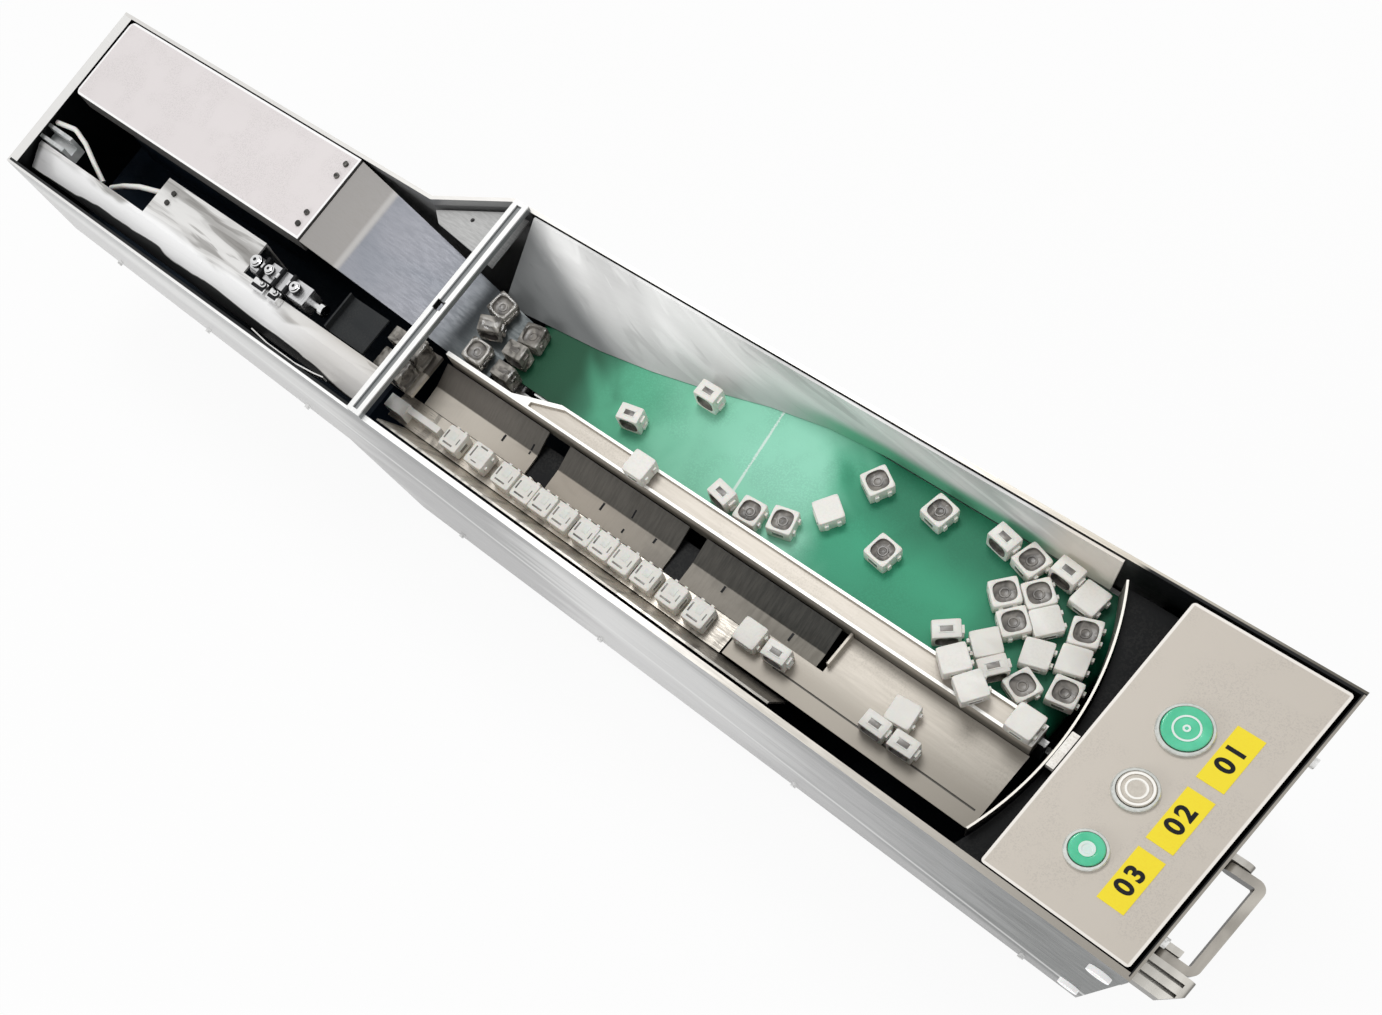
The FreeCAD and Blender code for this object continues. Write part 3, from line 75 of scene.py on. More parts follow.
print("rim corner", [round(v, 4) for v in RIM_CORNER])

# %% [markdown]
# ## The camera
# The feeder is seen from above its near front corner, through a wide lens that stands close by, so the
# arm shrinks with distance. A small lens shift frames it without tilting the lens any further.

# %% Camera
lens = bpy.data.cameras.new("camera")
lens.lens = 31.15
lens.shift_x = 0.135
lens.shift_y = 0.163
camera = placed("camera", lens)
camera.location = spot(934.3, -92, -651.5)
camera.rotation_euler = [math.radians(turn) for turn in (14.6991, 18.0317, 41.8538)]
bpy.context.scene.camera = camera
bpy.context.scene.view_settings.view_transform = "Standard"
print("camera", [round(v, 3) for v in camera.location])

# %% [markdown]
# ## Node helpers
# Materials below are short lists of nodes. One helper makes a node and fills or links its sockets, and a
# few more make the steps that come back everywhere: arithmetic, a soft threshold, and a colour mix. A
# socket knows which tree it is in, so only the helpers that start from nothing need to be told.


# %% Node helpers
def colour(code):
    """A hex colour as the linear red, green, blue and alpha that shaders take."""
    parts = [int(code[i : i + 2], 16) / 255 for i in (0, 2, 4)]
    return [p / 12.92 if p <= 0.04045 else ((p + 0.055) / 1.055) ** 2.4 for p in parts] + [1]


def add(tree, kind, sockets, **settings):
    """A node of that kind. A socket's value is a number, a colour, or another node's output."""
    node = tree.nodes.new("ShaderNode" + kind)
    for key, value in settings.items():
        setattr(node, key, value)
    for key, value in sockets.items():
        if isinstance(value, bpy.types.NodeSocket):
            tree.links.new(value, node.inputs[key])
        else:
            node.inputs[key].default_value = value
    return node


def owner(*values):
    """The node tree that the first socket among the values belongs to."""
    return next(v.id_data for v in values if isinstance(v, bpy.types.NodeSocket))


def sums(operation, a, b=0):
    return add(owner(a, b), "Math", {0: a, 1: b}, operation=operation).outputs[0]


def times(a, b):
    return sums("MULTIPLY", a, b)


def plus(a, b):
    return sums("ADD", a, b)


def minus(a, b):
    return sums("SUBTRACT", a, b)


def distance(a, b):
    return sums("ABSOLUTE", minus(a, b))


def soften(value, low, high, to_low=0, to_high=1):
    """Goes smoothly from to_low to to_high while value goes from low to high."""
    sockets = {"Value": value, "From Min": low, "From Max": high, "To Min": to_low, "To Max": to_high}
    return add(owner(value), "MapRange", sockets, interpolation_type="SMOOTHSTEP").outputs[0]


def mix(mask, a, b):
    """Colour a where mask is 0 and b where it is 1."""
    a, b = (colour(c) if isinstance(c, str) else c for c in (a, b))
    return add(owner(mask), "Mix", {0: mask, 6: a, 7: b}, data_type="RGBA").outputs[2]


def stages(value, *stops):
    """A colour that goes smoothly through (position, colour) stops as value grows."""
    skin = colour(stops[0][1])
    for (start, _), (end, code) in zip(stops, stops[1:]):
        skin = mix(soften(value, start, end), skin, code)
    return skin


# %% [markdown]
# ## Shared effects
# Brushing, drifting reflections, lit edges and specks turn up in many finishes, so each is a node group
# with its own inputs. A group gives out masks, values and heights only; the shader stays in the material.


# %% Node group maker
def effect(name, inputs, outputs):
    """An empty node group with those float or vector sockets, and its input and output nodes."""
    tree = bpy.data.node_groups.new(name, "ShaderNodeTree")
    for label, default in inputs.items():
        kind = "NodeSocketVector" if isinstance(default, tuple) else "NodeSocketFloat"
        tree.interface.new_socket(label, in_out="INPUT", socket_type=kind).default_value = default
    for label in outputs:
        tree.interface.new_socket(label, in_out="OUTPUT", socket_type="NodeSocketFloat")
    return tree, tree.nodes.new("NodeGroupInput").outputs, tree.nodes.new("NodeGroupOutput").inputs


def use(tree, group, **inputs):
    """Places a shared effect in a material and returns its outputs."""
    node = tree.nodes.new("ShaderNodeGroup")
    node.node_tree = group
    for key, value in inputs.items():
        socket = node.inputs[key.replace("_", " ")]
        if isinstance(value, bpy.types.NodeSocket):
            tree.links.new(value, socket)
        else:
            socket.default_value = value
    return node.outputs


# %% [markdown]
# ### Place on the casing
# Frame coordinates in metres are awkward to reason with. This group turns them into the casing's own
# millimetres, so that a finish can change along the feeder or with depth.

# %% Group: place on the casing
casing_place, _, out = effect("casing place", {}, ["X", "Y", "Drop"])
where = add(casing_place, "TexCoord", {}).outputs["Object"]
shifted = add(casing_place, "VectorMath", {0: where, 1: RIM_CORNER}, operation="SUBTRACT").outputs[0]
axes = add(casing_place, "SeparateXYZ", {0: shifted}).outputs
for i, name, scale in ((0, "X", 1 / MM), (1, "Y", 1 / MM), (2, "Drop", -1 / MM)):
    casing_place.links.new(times(axes[i], scale), out[name])
print("group", casing_place.name)

# %% [markdown]
# ### Brushed grain
# Brushing leaves fine parallel scratches. Noise stretched along one axis gives them: Stretch holds how
# many times finer the pattern is on each axis, so a small number is the direction of the brushing.

# %% Group: brushed grain
brushed_grain, into, out = effect(
    "brushed grain", {"Stretch": (1, 30, 30), "Scale": 60}, ["Tone", "Height"]
)
where = add(brushed_grain, "TexCoord", {}).outputs["Object"]
drawn = add(brushed_grain, "VectorMath", {0: where, 1: into["Stretch"]}, operation="MULTIPLY").outputs[0]
fibres = {"Vector": drawn, "Scale": into["Scale"], "Detail": 5, "Roughness": 0.65}
noise = add(brushed_grain, "TexNoise", fibres)
brushed_grain.links.new(soften(noise.outputs[0], 0.3, 0.7), out["Tone"])
brushed_grain.links.new(noise.outputs[0], out["Height"])
print("group", brushed_grain.name)

# %% [markdown]
# ### Drifting reflection
# Thin polished sheet is never flat, and its reflections swim. A large warped noise, pushed towards black
# and white by Sharpness, draws those slow light and dark flames across the sheet. Slant leans them, by
# adding a share of x to the height before the pattern is read.

# %% Group: drifting reflection
drifting, into, out = effect(
    "drifting reflection",
    {"Stretch": (1, 4, 4), "Scale": 6, "Sharpness": 2, "Slant": 0},
    ["Mask", "Height"],
)
where = add(drifting, "TexCoord", {}).outputs["Object"]
axes = add(drifting, "SeparateXYZ", {0: where}).outputs
raised = plus(axes[2], times(axes[0], into["Slant"]))
leaning = add(drifting, "CombineXYZ", {0: axes[0], 1: axes[1], 2: raised}).outputs[0]
drawn = add(drifting, "VectorMath", {0: leaning, 1: into["Stretch"]}, operation="MULTIPLY").outputs[0]
flames = {"Vector": drawn, "Scale": into["Scale"], "Detail": 2.5, "Roughness": 0.45, "Distortion": 1.1}
noise = add(drifting, "TexNoise", flames)
steep = times(minus(noise.outputs[0], 0.5), into["Sharpness"])
drifting.links.new(soften(steep, -0.5, 0.5), out["Mask"])
drifting.links.new(noise.outputs[0], out["Height"])
print("group", drifting.name)

# %% [markdown]
# ### Facing
# A folded wall has a satin outside, an inside painted in shade and a rolled rim with a painted highlight.
# The face's own direction tells them apart: the mask is 1 where the surface faces the given way.

# %% Group: facing
facing, into, out = effect("facing", {"Direction": (0, 0, 1)}, ["Mask"])
normal = add(facing, "TexCoord", {}).outputs["Normal"]
match = add(facing, "VectorMath", {0: normal, 1: into["Direction"]}, operation="DOT_PRODUCT").outputs["Value"]
facing.links.new(soften(match, 0.5, 0.9), out["Mask"])
print("group", facing.name)

# %% [markdown]
# ### Rolled edge
# The edges of the painted covers are rolled over and carry a painted highlight, thin pale lines. The mask
# is 1 within Width of the rectangle from Low to High, in casing millimetres.

# %% Group: rolled edge
rolled_edge, into, out = effect(
    "rolled edge", {"Low": (0, 0, 0), "High": (1, 1, 0), "Width": 1.5}, ["Mask"]
)
place = use(rolled_edge, casing_place)
low, high = (add(rolled_edge, "SeparateXYZ", {0: into[end]}).outputs for end in ("Low", "High"))
gaps = [minus(place[i], low[i]) for i in (0, 1)]
gaps += [minus(high[i], place[i]) for i in (0, 1)]
nearest = gaps[0]
for gap in gaps[1:]:
    nearest = sums("MINIMUM", nearest, gap)
share = sums("DIVIDE", nearest, into["Width"])
rolled_edge.links.new(soften(share, 1, 0.6), out["Mask"])
print("group", rolled_edge.name)

# %% [markdown]
# ### Specks
# Dust, moulding marks and scuffs break up a plain colour. Fine noise cut off near its peaks leaves small
# separate specks, and a second, slower noise gathers them in patches.

# %% Group: specks
specks, into, out = effect("specks", {"Scale": 900, "Cut": 0.6}, ["Mask", "Height"])
where = add(specks, "TexCoord", {}).outputs["Object"]
fine = add(specks, "TexNoise", {"Vector": where, "Scale": into["Scale"], "Detail": 3}).outputs[0]
patch = add(specks, "TexNoise", {"Vector": where, "Scale": 35, "Detail": 2}).outputs[0]
spots = soften(minus(fine, into["Cut"]), 0, 0.1)
specks.links.new(times(spots, soften(patch, 0.4, 0.6)), out["Mask"])
specks.links.new(fine, out["Height"])
print("group", specks.name)


# %% [markdown]
# ## Making a material
# Each material starts as one Principled shader. A bump from the effect's own height, a fraction of a
# millimetre deep, gives the light something to catch.


# %% Material helpers
def blank(name, **sockets):
    """A new material's node tree and its Principled shader, with plain values on the shader's sockets."""
    made = bpy.data.materials.new(name)
    made.use_nodes = True
    tree = made.node_tree
    shader = tree.nodes["Principled BSDF"]
    for key, value in sockets.items():
        shader.inputs[key.replace("_", " ")].default_value = value
    return made, tree, shader


def paint(shader, skin):
    shader.id_data.links.new(skin, shader.inputs["Base Color"])


def gloss(shader, grain, rough, smooth):
    """The deeper the grain, the rougher."""
    shader.id_data.links.new(soften(grain, 0, 1, rough, smooth), shader.inputs["Roughness"])


def emboss(shader, height, depth, strength):
    """A bump from that height, depth metres deep."""
    bump = add(shader.id_data, "Bump", {"Height": height, "Distance": depth, "Strength": strength})
    shader.id_data.links.new(bump.outputs[0], shader.inputs["Normal"])


def mottled(name, dark, light, scale, sharpness, depth, strength, **sockets):
    """A material that drifts between two colours, with its surface drifting too."""
    made, tree, shader = blank(name, **sockets)
    drift = use(tree, drifting, Stretch=(1, 1, 1), Scale=scale, Sharpness=sharpness)
    paint(shader, mix(drift[0], dark, light))
    emboss(shader, drift[1], depth, strength)
    return made


def dress(material, *names):
    """Gives a CAD node that material in place of its plain one."""
    for name in names:
        slots = nodes[name].data.materials
        slots.clear()
        slots.append(material)


# %% [markdown]
# ## Satin stainless steel
# The gusset and the inner sheets are brushed stainless. It is a metal of middle roughness whose
# roughness follows the brushing, and whose tone, between a darker and a lighter grey, follows the
# brushing and a painted drifting reflection.


# %% Satin steel
def satin_steel(name, dark, light, stretch=(1, 30, 30), roughness=0.38, metal=0.85):
    made, tree, shader = blank(name, Metallic=metal)
    grain = use(tree, brushed_grain, Stretch=stretch, Scale=55)
    drift = use(tree, drifting, Scale=5, Sharpness=1.2)
    # The drifting mask paints a soft reflection into the tone.
    tone = plus(times(grain[0], 0.45), times(drift[0], 0.55))
    paint(shader, mix(tone, dark, light))
    gloss(shader, grain[0], roughness + 0.1, roughness - 0.06)
    emboss(shader, grain[1], 0.00015, 0.25)
    return made


inner_steel = satin_steel("inner steel", "9d9d9c", "cfcfce")
dress(inner_steel, "motor_bracket", "belt_bed", "conveyor_frames")
dress(satin_steel("gusset steel", "8c8c8b", "c2c2c1", (2, 14, 10), 0.4, 0.3), "gusset_plate")

# %% [markdown]
# The handle is polished bar in cast brackets. Its upper faces carry painted patches of reflection of the
# bright room, and its sides are painted dark as shade.

# %% Handle
for node, side_shade, dark, light in (
    ("handle_bail", "2c2a27", "8f8a82", "c6c1b8"),
    ("handle_brackets", "6d6962", "a8a39a", "f0ede6"),
):
    made, tree, shader = blank(node.replace("_", " ") + " steel", Metallic=0.45, Roughness=0.3)
    sheen = use(tree, drifting, Stretch=(1.5, 0.6, 1), Scale=30, Sharpness=2.6)
    # Painted reflection on the upper faces, painted shade on the sides.
    paint(shader, mix(use(tree, facing)[0], side_shade, mix(sheen[0], dark, light)))
    emboss(shader, sheen[1], 0.001, 0.2)
    dress(made, node)

# %% [markdown]
# ## The casing walls
# Outside, the walls are satin steel under painted shading that runs from light at the rear to a deeper
# grey at the front, with a soft crease along them where the sheet is stiffened, drawn as a painted
# highlight line with painted shade towards the rim. Inside they are painted in shade, and their folded
# rims carry a painted highlight, with painted shade where their inner edges face away from the light.
# One material does all of it, with masks for direction, place and crease.


# %% Casing walls
FAR_SHEET, FRONT_SHEET = 178.5, 990.5


def wall_steel(name, inward, outside_stops, rim_stops, shade, creased=False):
    made, tree, shader = blank(name, Metallic=0.6)
    place = use(tree, casing_place)
    grain = use(tree, brushed_grain, Stretch=(1, 24, 24), Scale=50)
    drift = use(tree, drifting, Stretch=(1, 3, 6), Scale=4.5, Sharpness=1.6)
    # Painted shading and reflection outside: light at the rear, deeper grey at the front, swimming a little.
    wander = times(minus(drift[0], 0.5), 90)
    outside = stages(plus(place["X"], wander), *outside_stops)
    if creased:
        # The crease is painted: a grey band below it, a highlight line along it, shade towards the rim.
        line = plus(times(place["X"], 0.15), 12.5)
        off = minus(place["Drop"], line)
        low = soften(off, 6, 26, 0, 0.5)
        outside = mix(low, outside, "c3c2c2")
        outside = mix(soften(sums("ABSOLUTE", off), 7, 1, 0, 0.7), outside, "e9e9e8")
        outside = mix(soften(place["Drop"], 34, 6, 0, 0.4), outside, "6f7172")
    outside = mix(times(grain[0], 0.14), outside, "e2e2e2")
    # Inward faces take the painted shade stops, upward faces the rim's painted highlight and shade.
    inner = use(tree, facing, Direction=inward)[0]
    upper = use(tree, facing)[0]
    # Painted shade over the inner half of the near hem, behind the cross bar.
    hem_shade = times(soften(place["Y"], 1.7, 2.1), soften(place["X"], 431, 427))
    both = mix(inner, outside, stages(place["X"], *shade))
    rim = stages(place["X"], *rim_stops)
    if creased:
        rim = mix(hem_shade, rim, "141617")
    # Painted shade along the rims' inner edges, at the far wall's front part and at the front wall.
    rim_edge_shade = times(soften(place["Y"], FAR_SHEET + 0.4, FAR_SHEET), soften(place["X"], 870, 880))
    rim_edge_shade = times(rim_edge_shade, soften(place["Y"], 170, 175))
    if name.startswith("front"):
        rim_edge_shade = soften(place["X"], FRONT_SHEET + 0.4, FRONT_SHEET)
    rim = mix(rim_edge_shade, rim, "0d0e0f")
    paint(shader, mix(upper, both, rim))
    gloss(shader, grain[0], 0.5, 0.38)
    emboss(shader, grain[1], 0.0002, 0.2)
    return made


# Colour stops along x: painted shading outside, painted highlight and shade on rims, painted shade inside.
NEAR_OUTSIDE = (
    (150, "e6e6e5"), (330, "dadad9"), (430, "a9a9a9"), (540, "a5a5a5"), (620, "dededd"), (700, "d2d2d1"),
    (800, "a8a8a8"), (880, "8a8b8b"), (950, "5f6261"),
)
RIM = ((0, "e2e1df"), (420, "f4f4f3"), (620, "dfddda"), (760, "a9a59e"), (980, "918c84"))
DARK_INSIDE = ((0, "0f1113"), (1000, "0f1113"))
FLARE_INSIDE = ((292, "25282a"), (310, "a8a8a8"), (425, "a2a3a3"), (435, "1d1f20"))
FAR_RIM = ((0, "d9d7d4"), (600, "e4e2de"), (880, "b3ada2"), (980, "5d5951"))
FAR_OUTSIDE = ((0, "d8d8d7"), (1000, "aeaca8"))
PLAIN = ((0, "d8d8d7"), (1000, "b5b0a8"))
dress(wall_steel("near wall steel", (0, 1, 0), NEAR_OUTSIDE, RIM, DARK_INSIDE, True), "near_wall")
dress(wall_steel("far wall steel", (0, -1, 0), FAR_OUTSIDE, FAR_RIM, FLARE_INSIDE), "far_wall")
dress(wall_steel("front wall steel", (-1, 0, 0), PLAIN, RIM, DARK_INSIDE), "front_wall")
dress(wall_steel("rear wall steel", (1, 0, 0), PLAIN, RIM, DARK_INSIDE), "rear_wall")
print("walls done")

# %% [markdown]
# ## The cross bar
# A bright bar ties the two walls together over the chute. Its groove is painted dull grey as shade,
# which its depth below the bar's top picks out, its rear face is painted a little darker, and the
# square slot in its middle is painted dark as the shade in its opening.

# %% Cross bar
SLOT_X, SLOT_Y, SLOT_REACH = 426.5, 91, 3.8
made, tree, shader = blank("bar steel", Metallic=0.35)
place = use(tree, casing_place)
grain = use(tree, brushed_grain, Stretch=(24, 1, 24), Scale=40)
top = mix(grain[0], "e9e9e8", "fcfcfb")
# Painted shade on the face towards the rear.
top = mix(use(tree, facing, Direction=(-1, 0, 0))[0], top, "b4b4b4")
# Painted shade in the groove.
top = mix(soften(place["Drop"], -4.2, -3.6), top, "8b8e8f")
# Painted shade over the slot's opening.
off_slot = sums("MAXIMUM", distance(place["X"], SLOT_X), distance(place["Y"], SLOT_Y))
paint(shader, mix(soften(off_slot, SLOT_REACH, SLOT_REACH - 0.6), top, "0d0e0f"))
gloss(shader, grain[0], 0.42, 0.3)
emboss(shader, grain[1], 0.0002, 0.2)
dress(made, "cross_bar")
print("bar done")


# %% [markdown]
# ## Painted covers
# The rear cover and the control panel are sheet steel under satin paint. Fine specks roughen the paint,
# the rolled edges show as thin painted highlights along the border, and the faces that don't look up
# are painted in shade.


# %% Painted covers
def cover_paint(name, node, base, worn, edge, width):
    made, tree, shader = blank(name, Roughness=0.5, Metallic=0.1)
    low, high = ((end - RIM_CORNER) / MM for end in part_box(node))
    rim = use(tree, rolled_edge, Low=low, High=high, Width=width)[0]
    flat = use(tree, facing)[0]
    dust = use(tree, specks, Scale=1400, Cut=0.5)
    drift = use(tree, drifting, Stretch=(1, 1.6, 1), Scale=7, Sharpness=1)
    coat = mix(times(drift[0], 0.5), base, worn)
    coat = mix(times(dust[0], 0.18), coat, "8f8a86")
    # Painted highlight on the rolled edges, painted shade on the faces that don't look up.
    coat = mix(times(rim, flat), coat, edge)
    paint(shader, mix(flat, "5d5b59", coat))
    emboss(shader, dust[1], 0.0001, 0.25)
    dress(made, node)


cover_paint("rear cover paint", "rear_cover", "e3dddd", "dcd6d5", "fdfcfc", 2.2)
cover_paint("panel paint", "control_panel", "cdc5ba", "c8c0b5", "f4efe8", 1.8)
print("covers done")

# %% [markdown]
# ## The chute
# The chute is bent sheet. Its two facets catch the light differently, so the short upper facet is
# painted warm grey and the long lower facet cool, with a painted reflection. The bend between them is a
# painted highlight, and the lower facet darkens towards its foot with painted shade from the cross bar.

# %% Chute
BEND_X = 327
made, tree, shader = blank("chute steel", Metallic=0.2, Specular_IOR_Level=0.25)
place = use(tree, casing_place)
grain = use(tree, brushed_grain, Stretch=(2, 20, 10), Scale=40)
drift = use(tree, drifting, Stretch=(1, 1.5, 1), Scale=14, Sharpness=1.4)
# Painted reflection on the lower facet, then painted shade towards its foot.
slope = mix(drift[0], "7a7e86", "8b8c93")
slope = mix(soften(place["X"], 385, 450), slope, "454c4d")
skin = mix(soften(place["X"], BEND_X - 1, BEND_X + 5), "918e8b", slope)
# Painted highlight along the bend.
skin = mix(soften(distance(place["X"], BEND_X), 4, 0.5, 0, 0.6), skin, "b9b7b5")
skin = mix(times(grain[0], 0.1), skin, "9c9ca0")
paint(shader, skin)
gloss(shader, grain[0], 0.45, 0.32)
emboss(shader, grain[1], 0.0002, 0.2)
dress(made, "chute")
print("chute done")


# %% [markdown]
# ## Polished sheet
# The outfeed sheet and the hopper plate are mirror polished, but thin and a little wavy, so what they
# show is broken into painted reflections, flames of white, grey and near black. Drifting masks at two
# sizes mix three tones.


# %% Polished sheet
def polished_sheet(name, dark, middle, light, stretch, scale, sharpness, slant=0, metal=0.4):
    made, tree, shader = blank(name, Metallic=metal, Roughness=0.3)
    slow = use(tree, drifting, Stretch=stretch, Scale=scale, Sharpness=sharpness, Slant=slant)
    quick = use(tree, drifting, Stretch=stretch, Scale=scale * 2.7, Sharpness=sharpness * 1.3, Slant=slant)
    grain = use(tree, brushed_grain, Stretch=(1, 14, 14), Scale=45)
    # Painted reflections: two drifting masks mix three tones.
    body = mix(slow[0], middle, light)
    body = mix(soften(quick[0], 0.7, 1, 0, 0.6), body, dark)
    body = mix(soften(quick[0], 0.3, 0, 0, 0.8), body, light)
    body = mix(times(grain[0], 0.1), body, light)
    emboss(shader, slow[1], 0.004, 0.3)
    return made, tree, shader, body


made, tree, shader, body = polished_sheet(
    "outfeed sheet polish", "76736f", "a19f9c", "e6e5e3", (0.5, 4.5, 2), 9, 3, 0, 0.25
)
place = use(tree, casing_place)
flame = use(tree, drifting, Stretch=(0.7, 2, 2), Scale=11, Sharpness=3)[0]
# Painted reflection: the near part of the sheet turns white.
waved = plus(place["Y"], times(minus(flame, 0.5), 14))
body = mix(soften(waved, 30, 22, 0, 0.92), body, "ffffff")
body = mix(soften(place["X"], 300, 370, 0, 0.4), body, "a89f92")
# Painted shade: a wavy near-black strip along the near edge stands for the shaded gap beside the sheet.
edge = plus(place["Y"], times(minus(flame, 0.5), 4))
edge = plus(edge, times(distance(place["X"], 190), 0.022))
paint(shader, mix(soften(edge, 16.2, 15.4), body, "08090a"))
dress(made, "outfeed_sheet")
print("outfeed sheet done")

# %% [markdown]
# The hopper plate stands almost upright beside the belt, so its streaks lean down along it. It scatters
# the light of the whole room, and a little of its own colour is let out as a painted glow to stand for
# that. Deeper down and near the chute it is painted in shade, and the green belt is painted on it as a
# reflection.

# %% Hopper plate
made, tree, shader, body = polished_sheet(
    "hopper plate polish", "a3a3a2", "b7b7b6", "e4e4e3", (0.6, 3, 7), 6, 1.5, 0.33, 0.1
)
place = use(tree, casing_place)
# Painted shade deeper down and in the corner by the chute.
body = mix(soften(place["Drop"], 12, 34, 0, 0.6), body, "8d8f8e")
near_chute = plus(place["X"], times(place["Drop"], -3))
body = mix(soften(near_chute, 455, 410, 0, 0.85), body, "46494a")
# Painted reflection of the green belt.
belt_reflection = times(soften(place["Drop"], 20, 30), soften(place["X"], 640, 700))
body = mix(times(belt_reflection, 0.85), body, "3f9a75")
body = mix(soften(place["X"], 815, 838, 0, 0.85), body, "d6cfc5")
paint(shader, body)
# Painted glow: the plate's own colour let out as emission.
tree.links.new(body, shader.inputs["Emission Color"])
shader.inputs["Emission Strength"].default_value = 0.2
shader.inputs["Roughness"].default_value = 0.5
dress(made, "hopper_plate")
strip_steel = satin_steel("strip steel", "c9c7c3", "fbfaf8", (1, 1, 20), 0.25, 0.6)
dress(strip_steel, "retaining_strap")
made, tree, shader = blank("deflector steel", Metallic=0.5, Roughness=0.35)
grain = use(tree, brushed_grain, Stretch=(2, 2, 20), Scale=40)
# Painted light: upward faces pale, the other faces darker.
paint(shader, mix(use(tree, facing)[0], mix(grain[0], "4a4844", "8d8982"), "d8d4cc"))
emboss(shader, grain[1], 0.0002, 0.2)
dress(made, "deflector")
print("polished sheets done")

# %% [markdown]
# ## The belt
# The belt is green polyurethane, matt with a slight sheen. It is painted deep green with shade at both
# ends and pale with a painted sheen in the middle. A welded splice crosses it as a thin pale line that
# isn't quite straight.

# %% Belt
SPLICE_X, SPLICE_LEAN = 669, -0.12
made, tree, shader = blank("belt green", Roughness=0.55, Specular_IOR_Level=0.3)
place = use(tree, casing_place)
drift = use(tree, drifting, Stretch=(1.4, 1, 1), Scale=13, Sharpness=1.3)
weave = use(tree, specks, Scale=1100, Cut=0.42)
along = plus(place["X"], times(minus(drift[0], 0.5), 46))
along = plus(along, times(minus(place["Y"], 120), 0.3))
# Painted shade at both ends and a painted sheen in the middle, along the belt.
skin = stages(
    along, (512, "08492f"), (560, "58b08c"), (605, "85d0b1"), (690, "98dec3"), (735, "3fa580"),
    (800, "3da27c"), (885, "0f5a41"),
)
far_shade = times(soften(place["Y"], 118, 150, 0, 0.6), soften(along, 715, 750))
skin = mix(far_shade, skin, "0f5f43")
line = minus(place["X"], times(place["Y"], SPLICE_LEAN))
edge = plus(distance(line, SPLICE_X), times(weave[0], 0.5))
skin = mix(soften(edge, 1.3, 0.5, 0, 0.8), skin, "e6f2ec")
skin = mix(times(weave[0], 0.1), skin, "0f4a35")
paint(shader, skin)
emboss(shader, weave[1], 0.0003, 0.3)
dress(made, "belt")
print("belt done")


# %% [markdown]
# ## Painted ivory steel
# The divider, the return plate and the deflector's clip are ivory. The divider's lips carry a painted
# highlight and its channel painted shade, and the plate is painted darker with shade towards the near
# wall, the front and its lower edge.


# %% Ivory steel
def ivory(name, base, worn):
    made, tree, shader = blank(name, Roughness=0.45, Metallic=0.25)
    grain = use(tree, brushed_grain, Stretch=(1, 10, 10), Scale=40)
    dust = use(tree, specks, Scale=900, Cut=0.5)
    skin = mix(grain[0], base, worn)
    skin = mix(times(dust[0], 0.2), skin, "8b857b")
    emboss(shader, dust[1], 0.0001, 0.2)
    return made, tree, shader, skin


made, tree, shader, skin = ivory("divider ivory", "cbc4ba", "c0b9ae")
place = use(tree, casing_place)
# Painted highlight on the lips' upper faces, painted shade deep in the channel.
lips = soften(place["Drop"], 23, 22.3)
skin = mix(times(lips, use(tree, facing)[0]), skin, "fbfaf6")
paint(shader, mix(soften(place["Drop"], 26, 34), skin, "6b675f"))
dress(made, "divider_rail")
made, tree, shader, skin = ivory("return plate ivory", "cdc6bb", "bfb8ad")
place = use(tree, casing_place)
# Painted shade towards the near wall, towards the front and below the plate's top.
skin = mix(soften(place["Y"], 58, 34), skin, "9f988d")
skin = mix(soften(place["X"], 815, 885, 0, 0.35), skin, "7f7a70")
paint(shader, mix(soften(place["Drop"], 40.2, 40.8), skin, "4c4943"))
dress(made, "return_plate")
made, tree, shader, skin = ivory("clip ivory", "f2efe9", "dfdad2")
paint(shader, skin)
dress(made, "deflector_clip")
print("ivory done")

# %% [markdown]
# ## The track
# Brushed steel again, but rubbed dull and brown by the caps. The near facet of each segment is painted
# as the lit one and the far facet as the shaded one, and the segments are painted darker with shade one
# after another towards the front.

# %% Track steel
made, tree, shader = blank("track steel", Metallic=0.45)
place = use(tree, casing_place)
grain = use(tree, brushed_grain, Stretch=(14, 1.6, 1.6), Scale=45)
rubbed = use(tree, drifting, Stretch=(1, 3, 3), Scale=16, Sharpness=1.5)
# Painted light and shade: near facet lit, far facet shaded, both darker towards the front.
near = stages(place["X"], (440, "cbc4b9"), (560, "978f84"), (660, "7a756d"), (760, "68645c"))
far = stages(place["X"], (440, "6a655f"), (560, "4e4b46"), (760, "2e2e2b"))
skin = mix(soften(place["Y"], 55.4, 56.6), near, far)
skin = mix(times(grain[0], 0.1), skin, "8f8a80")
skin = mix(soften(rubbed[0], 0.6, 1, 0, 0.3), skin, "4d4a45")
paint(shader, skin)
gloss(shader, grain[0], 0.5, 0.36)
emboss(shader, grain[1], 0.0002, 0.3)
dress(made, "track_segments", "catch_tray")

# %% [markdown]
# The guide leans against the row of caps. It is lighter along its upper edge, with a darker strip at the
# very top, streaked below, and, shiny as it is, carries painted dark reflections of the caps' feet.
# Towards the front it is painted darker with shade.

# %% Guide and lane
made, tree, shader = blank("guide steel", Metallic=0.6)
place = use(tree, casing_place)
grain = use(tree, brushed_grain, Stretch=(1.2, 14, 14), Scale=70)
cap_feet_reflection = use(tree, drifting, Stretch=(3, 1, 1), Scale=22, Sharpness=3)
skin = mix(soften(place["Drop"], 15.5, 24), "efebe3", "cbc4b9")
skin = mix(soften(place["Drop"], 17, 13.5, 0, 0.5), skin, "8d8a84")
# Painted reflection of the caps' dark feet.
skin = mix(soften(cap_feet_reflection[0], 0.55, 1, 0, 0.55), skin, "4c463f")
skin = mix(times(grain[0], 0.3), skin, "cfc8bd")
